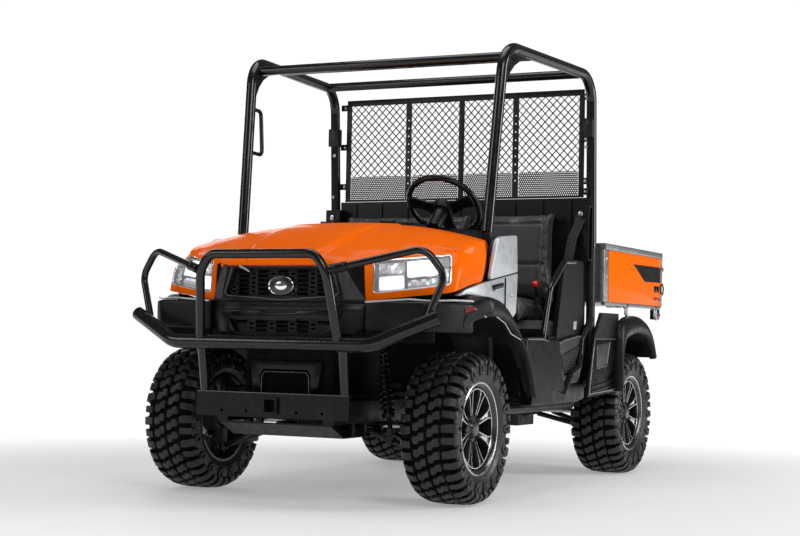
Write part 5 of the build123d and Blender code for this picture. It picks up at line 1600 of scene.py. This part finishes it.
bed = {
    "band": ((-1900, 1092), (-2372, 1096), (-2372, 1012), (-2096, 1008)),
    "rail": ((722, 1146), (722, 1170), (727, 1175), (768, 1175), (774, 1169), (774, 1148), (769, 1143),
             (765, 1146)),
    "hook": ((-2376, 1098), (-2404, 1098), (-2410, 1076), (-2376, 1070)),
}
for side, name in sides:
    flank = brick("bedPanel_" + name, (-2386, -1512), (side * 752, side * 765), (884, 1146), orangePaint, 5,
                  3, body="bed")
    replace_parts(flank, "bed_side_panels")
    # plain dark band, a small dark square and a dark red stripe, all blank
    slab("bedBand_" + name, bed["band"], (side * 764.6, side * 766), "Y", satinBlack, 0.6, 1, body="bed")
    brick("bedSquare_" + name, (-2352, -2262), (side * 764.6, side * 766), (958, 992), satinBlack, 0.6, 1,
          body="bed")
    brick("bedStripe_" + name, (-2366, -2262), (side * 764.6, side * 766), (914, 930), lampRed, 0.6, 1,
          body="bed")
    # pressed rail cap with its inner lip, and corner posts
    slab("bedRail_" + name, [(side * y, z) for y, z in bed["rail"]], (-2388, -1437), "X", zincSheet, 2,
         body="bed")
    brick("bedPost_" + name, (-1504, -1440), (side * 734, side * 764), (884, 1146), zincSheet, 4,
          body="bed")
    brick("bedPostRear_" + name, (-2398, -2380), (side * 742, side * 770), (884, 1146), zincSheet, 4,
          body="bed")
    brick("bedFoot_" + name, (-2388, -1460), (side * 742, side * 767), (868, 886), zincSheet, 3, body="bed")
    bolts("bedBolts_" + name, [(-1472, side * 764, z) for z in (920, 1010, 1100)], (0, side, 0), 7,
          brightSteel, body="bed")
    for k, x in enumerate((-1782, -2280)):
        slab("bedLatch_%s_%d" % (name, k), ((x - 34, 884), (x + 34, 884), (x + 26, 862), (x - 22, 852)),
             (side * 756, side * 772), "Y", brightSteel, 3, body="bed")
        bar("bedPin_%s_%d" % (name, k), [(x + 8, side * 770, 866), (x - 10, side * 772, 836),
            (x - 22, side * 770, 812)], 9, 10, brightSteel, 14, body="bed")
        ring = [(x + 20 * cos(tau * j / 24), side * 770, 846 + 20 * sin(tau * j / 24)) for j in range(24)]
        hoopBar("bedRing_%s_%d" % (name, k), ring, 3, 8, brightSteel, "bed")
    # side lamp under the rear corner
    brick("cornerLampBox_" + name, (-2386, -2330), (side * 722, side * 762), (812, 868), mouldedBlack, 6, 3,
          body="bed")
    brick("cornerLamp_" + name, (-2388, -2340), (side * 738, side * 765), (822, 846), lampRed, 5, 3,
          body="bed")
    ring = [(-2398 - 26 * sin(tau * j / 28), side * 768, 978 + 30 * cos(tau * j / 28)) for j in range(28)]
    hoopBar("gateRing_" + name, ring, 4, 8, satinBlack, "bed")
    slab("gateHook_" + name, bed["hook"], (side * 766, side * 774), "Y", brightSteel, 2, body="bed")
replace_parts(brick("bedRailFront", (-1470, -1437), (-723, 723), (1146, 1175), zincSheet, 4, body="bed"),
            "bed_rails")
# pressed ribs on the floor and on the front wall
for k in range(9):
    brick("bedRib_%d" % k, (-2360, -1475), (-640 + 160 * k - 22, -640 + 160 * k + 22), (889, 893.5),
          zincSheet, 3, body="bed")
for k in range(7):
    brick("bedFrontRib_%d" % k, (-1451, -1445.5), (-600 + 200 * k - 20, -600 + 200 * k + 20), (905, 1130),
          zincSheet, 2, body="bed")
print("bed made")


wheel = {
    "centre": (-446, 340, 1285), "tilt": 45, "radius": 166, "grip": 14, "scallops": 28,
    # outlines in the wheel's own plane: to the left, up
    "wing": ((30, 34), (66, 38), (108, 58), (150, 74), (158, 40), (160, 4), (146, 6), (106, 0), (62, -28),
             (34, -36)),
    "foot": ((-30, -30), (30, -30), (26, -90), (32, -158), (-32, -158), (-26, -90)),
}


def inWheel(left, up, out):
    # a point of the steering wheel: in its plane, and out towards the driver
    c, s = cos(radians(wheel["tilt"])), sin(radians(wheel["tilt"]))
    x, y, z = wheel["centre"]
    return Vector((x + up * s - out * c, y + left, z + up * c + out * s))


def wheelPlate(name, outline, low, high, material):
    mesh = prism(name, [at(*inWheel(a, b, low)) for a, b in outline],
                 [at(*inWheel(a, b, high)) for a, b in outline])
    bevelled(pieceFrom(name, mesh, material, "steering_wheel"), 4, 3)


turns = [tau * k / 112 for k in range(112)]
rimPoints = [inWheel(wheel["radius"] * sin(turn), wheel["radius"] * cos(turn), 0) for turn in turns]
rimSizes = [wheel["grip"] - (0.8 - 0.8 * cos(turn * wheel["scallops"]) if 12 < k < 100 else 0)
            for k, turn in enumerate(turns)]
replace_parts(hoopBar("steeringGrip", rimPoints, rimSizes, 18, satinBlack, "steering_wheel"),
            "steering_wheel")
wheelPlate("steeringWingLeft", wheel["wing"], -20, -7, satinBlack)
wheelPlate("steeringWingRight", [(-a, b) for a, b in wheel["wing"]][::-1], -20, -7, satinBlack)
wheelPlate("steeringFoot", wheel["foot"], -20, -8, satinBlack)
for name, profile, material in (
        ("steeringHub", ((-43, 36), (-43, 44), (-22, 50), (-8, 50), (-3, 44), (-2, 30)), mouldedBlack),
        ("steeringCap", ((-4, 34), (2, 33), (6, 28), (8, 18), (8.5, 0.01)), mouldedGrey)):
    axis = inWheel(0, 0, 1) - inWheel(0, 0, 0)
    pieceFrom(name, turned(profile, inWheel(0, 0, 0), axis, 48), material, "steering_wheel")
print("steering wheel made")

# small boxes and plates on the cage's rear posts
for side, name in sides:
    brick("postBox_" + name, (-1372, -1316), (side * 682, side * 736), (1688, 1782), frameBlack, 5)
    bolts("postBoxBolt_" + name, [(-1316, side * 706, 1758)], (1, 0, 0), 9, castDark)
    bolts("postBolts_" + name, [(-1322, side * 700, z) for z in (1420, 1640)], (1, 0, 0), 6, brightSteel)
    brick("postPlate_" + name, (-1326, -1320), (side * 688, side * 712), (1404, 1438), frameBlack, 2)

# brake lever by the driver's seat
bar("brakeLever", [(-1062, 560, 884), (-1030, 560, 950)], 7, 10, frameBlack, 16)
knob = ((-14, 0.01), (-14, 9), (-9, 14), (0, 17), (9, 15), (14, 8), (15, 0.01))
pieceFrom("brakeKnob", turned(knob, (-1030, 560, 956), (0.4, 0, 0.9), 32), knobRed)
boot = ((0, 24), (6, 24), (9, 19), (14, 21), (17, 16), (22, 18), (26, 12), (34, 9), (38, 7.5))
pieceFrom("brakeBoot", turned(boot, (-1070, 560, 866), (0.4, 0, 0.9), 32), mouldedBlack)
print("cab fittings made")

# under the front and on the tubes

# moulded arch in front of the radiator
arch = ((-149, 441), (-173, 580), (173, 580), (149, 441), (110, 441), (122, 520), (104, 546), (-104, 546),
        (-122, 520), (-110, 441))
slab("radiatorArch", arch, (351, 363), "X", satinBlack, 3)
archLine = ((-113, 446), (-125, 520), (-106, 549), (106, 549), (125, 520), (113, 446))
# lip round the arch in lighter grey: painted highlight
bar("archLip", [(363, y, z) for y, z in archLine], 2.4, 14, paintedHighlightGrey, 8)
# folded edge along the top of the bumper plate, in lighter grey as a painted highlight
bar("plateEdge", [(471.5, -356, 450.5), (471.5, 0, 450.5), (471.5, 356, 450.5)], 2.2, 4, paintedHighlightGrey, 8)
gusset = ((232, 0), (150, 10), (84, 34), (34, 84), (10, 150), (0, 232), (34, 232), (48, 170), (78, 116),
          (116, 78), (170, 48), (232, 34))
for side, name in sides:
    # clamps that hold the side hoops to the middle ones
    clamp = [Vector((560, side * 309, 952)), Vector((529, side * 369, 969))]
    bar("hoopClamp_" + name, clamp, 20, 1, satinBlack, 24)
    for k, share in enumerate((0.2, 0.8)):
        spot = clamp[0].lerp(clamp[1], share)
        bolts("clampBolt_%s_%d" % (name, k), [spot + Vector((17, 0, 9))], (0.88, 0, 0.47), 6, castDark)
    # plates welded into the corners of the cage
    corner = Vector((-386, side * 645, 1990))
    down = (Vector((-289, side * 619, 1190)) - corner).normalized()
    back = (Vector((-1345, side * 716, 1990)) - corner).normalized()
    flat = [corner + down * a + back * b for a, b in gusset]
    thick = down.cross(back).normalized() * 3
    mesh = prism("cageGusset", [at(*(p - thick)) for p in flat], [at(*(p + thick)) for p in flat])
    bevelled(pieceFrom("cageGusset_" + name, mesh, tubeBlack), 1.5)

# shock absorbers: top and foot of each, and which way the top eye lies
shocks = (("Front", (78, 285, 700), (75, 350, 294), (0.5, 0, 0)),
          ("Rear", (-1960, 345, 750), (-1960, 455, 377), (0, 0.5, 0)))
damperLine = ((0, 10), (0.14, 10), (0.14, 26), (0.17, 29), (0.19, 29), (0.19, 19), (0.55, 19), (0.55, 11),
              (0.86, 11), (0.86, 27), (0.9, 27), (0.92, 14), (1, 12))
for label, top, foot, eye in shocks:
    for side, name in sides:
        head, toe = Vector((top[0], side * top[1], top[2])), Vector((foot[0], side * foot[1], foot[2]))
        axis, length = (head - toe).normalized(), (head - toe).length
        body = turned([(share * length, radius) for share, radius in damperLine], toe, axis, 32)
        damper = pieceFrom("shock%s_%s" % (label, name), body, satinBlack)
        if label == "Front" and side > 0:
            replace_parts(damper, "shock_absorbers")
        coils, steps = 12, 20
        across = axis.orthogonal().normalized()
        other = axis.cross(across)
        spring = []
        for k in range(coils * steps + 1):
            turn = tau * k / steps
            spot = toe + axis * length * (0.2 + 0.65 * k / (coils * steps))
            spring.append(spot + (across * cos(turn) + other * sin(turn)) * 26)
        pieceFrom("spring%s_%s" % (label, name), tubeMesh("spring", spring, 5.2, 8), tubeBlack)
        for end, spot, way in (("Foot", toe, Vector((1, 0, 0))), ("Head", head, Vector(eye) * 2)):
            eyePiece = turned(((-15, 8), (-15, 13), (-11, 15), (11, 15), (15, 13), (15, 8)), spot, way, 28)
            pieceFrom("shockEye%s%s_%s" % (label, end, name), eyePiece, castDark)

# folded rubber boots on the half shafts
boots = (("FrontInner", 0, 96, 92, 36, 19), ("FrontOuter", 0, 492, -72, 36, 17),
         ("RearInner", -wheelbase, 136, 84, 42, 19))
for label, axleAhead, start, reach, big, small in boots:
    for side, name in sides:
        folds, profile = 6, [(0, big)]
        for k in range(folds):
            wide = big + 2 - (big - small) * (k + 0.5) / folds
            profile += [(reach * (k + 0.25) / folds, wide), (reach * (k + 0.5) / folds, wide),
                        (reach * (k + 0.9) / folds, wide - 6)]
        profile.append((reach, small))
        boot = turned(profile, (axleAhead, side * start, 317), (0, side, 0), 36)
        pieceFrom("shaftBoot%s_%s" % (label, name), boot, mouldedBlack)
print("front fittings, springs and boots made")


# camera, light and floor

view = {"from": (7.185, 3.391, 0.691), "yaw": -154.04, "pitch": 2.41, "roll": 1.14, "lens": 73.62}
yaw, pitch, roll = (radians(view[k]) for k in ("yaw", "pitch", "roll"))
forward = Vector((cos(yaw) * cos(pitch), sin(yaw) * cos(pitch), sin(pitch)))
level = Vector((sin(yaw), -cos(yaw), 0))
above = level.cross(forward)
across, upward = level * cos(roll) + above * sin(roll), above * cos(roll) - level * sin(roll)
camera = bpy.data.objects.new("camera", bpy.data.cameras.new("camera"))
bpy.context.scene.collection.objects.link(camera)
camera.data.sensor_width = 36
camera.data.lens = view["lens"]
camera.matrix_world = Matrix.Translation(view["from"]) @ Matrix((across, upward,
    -forward)).transposed().to_4x4()
bpy.context.scene.camera = camera

world = bpy.data.worlds.new("studio")
bpy.context.scene.world = world
world.use_nodes = True
surround = world.node_tree.nodes["Background"]
surround.inputs["Color"].default_value = (1, 1, 1, 1)
seen = world.node_tree.nodes.new("ShaderNodeLightPath")
brightness = world.node_tree.nodes.new("ShaderNodeMapRange")
brightness.inputs["To Min"].default_value = 0.12
brightness.inputs["To Max"].default_value = 1.05
world.node_tree.links.new(seen.outputs["Is Camera Ray"], brightness.inputs["Value"])
world.node_tree.links.new(brightness.outputs["Result"], surround.inputs["Strength"])
lights = (  # where, towards, width, height, watts
    ((4.2, 4.0, 4.4), (0.3, 0, 0.8), 2.6, 2.0, 110),
    ((5.0, -3.6, 3.2), (0.4, 0, 0.7), 2.4, 1.8, 50),
    ((-1.6, 4.8, 2.2), (-0.2, 0, 0.8), 1.4, 2.8, 130),
    ((-3.4, -3.8, 2.0), (-0.4, 0, 0.7), 2.0, 2.0, 40),
    ((0.6, 0, 5.0), (0.2, 0, 1.0), 3.4, 2.6, 85),
)
for k, (place, towards, width, height, watts) in enumerate(lights):
    lamp = bpy.data.lights.new("softbox%d" % k, "AREA")
    lamp.shape = "RECTANGLE"
    lamp.size, lamp.size_y, lamp.energy = width, height, watts
    holder = bpy.data.objects.new("softbox%d" % k, lamp)
    bpy.context.scene.collection.objects.link(holder)
    holder.location = place
    holder.rotation_euler = (Vector(towards) - Vector(place)).to_track_quat("-Z", "Y").to_euler()

floorMesh = meshFrom("floor", [(-60, -60, -0.001), (60, -60, -0.001), (60, 60, -0.001), (-60, 60, -0.001)],
    [[0, 1, 2, 3]])
floor = bpy.data.objects.new("floor", floorMesh)
bpy.context.scene.collection.objects.link(floor)
floorFinish = finish("paleFloor", (0.9, 0.9, 0.9), 0.7, spread=0.01, grainStrength=0)
# far from the machine the floor brightens into the backdrop
distance = floorFinish.node_tree.nodes.new("ShaderNodeVectorMath")
distance.operation = "LENGTH"
floorFinish.node_tree.links.new(texturePlace(floorFinish), distance.inputs[0])
fade = floorFinish.node_tree.nodes.new("ShaderNodeMapRange")
fade.inputs["From Min"].default_value = 1.6
fade.inputs["From Max"].default_value = 4.2
fade.inputs["To Min"].default_value = 0.3
fade.interpolation_type = "SMOOTHSTEP"
floorFinish.node_tree.links.new(distance.outputs["Value"], fade.inputs["Value"])
bright = floorFinish.node_tree.nodes.new("ShaderNodeEmission")
bright.inputs["Strength"].default_value = 1.05
blend = floorFinish.node_tree.nodes.new("ShaderNodeMixShader")
floorFinish.node_tree.links.new(fade.outputs["Result"], blend.inputs["Fac"])
floorFinish.node_tree.links.new(shaderOf(floorFinish).outputs["BSDF"], blend.inputs[1])
floorFinish.node_tree.links.new(bright.outputs["Emission"], blend.inputs[2])
floorFinish.node_tree.links.new(blend.outputs["Shader"],
    floorFinish.node_tree.nodes["Material Output"].inputs["Surface"])
floorMesh.materials.append(floorFinish)
bpy.context.scene.view_settings.view_transform = "Standard"
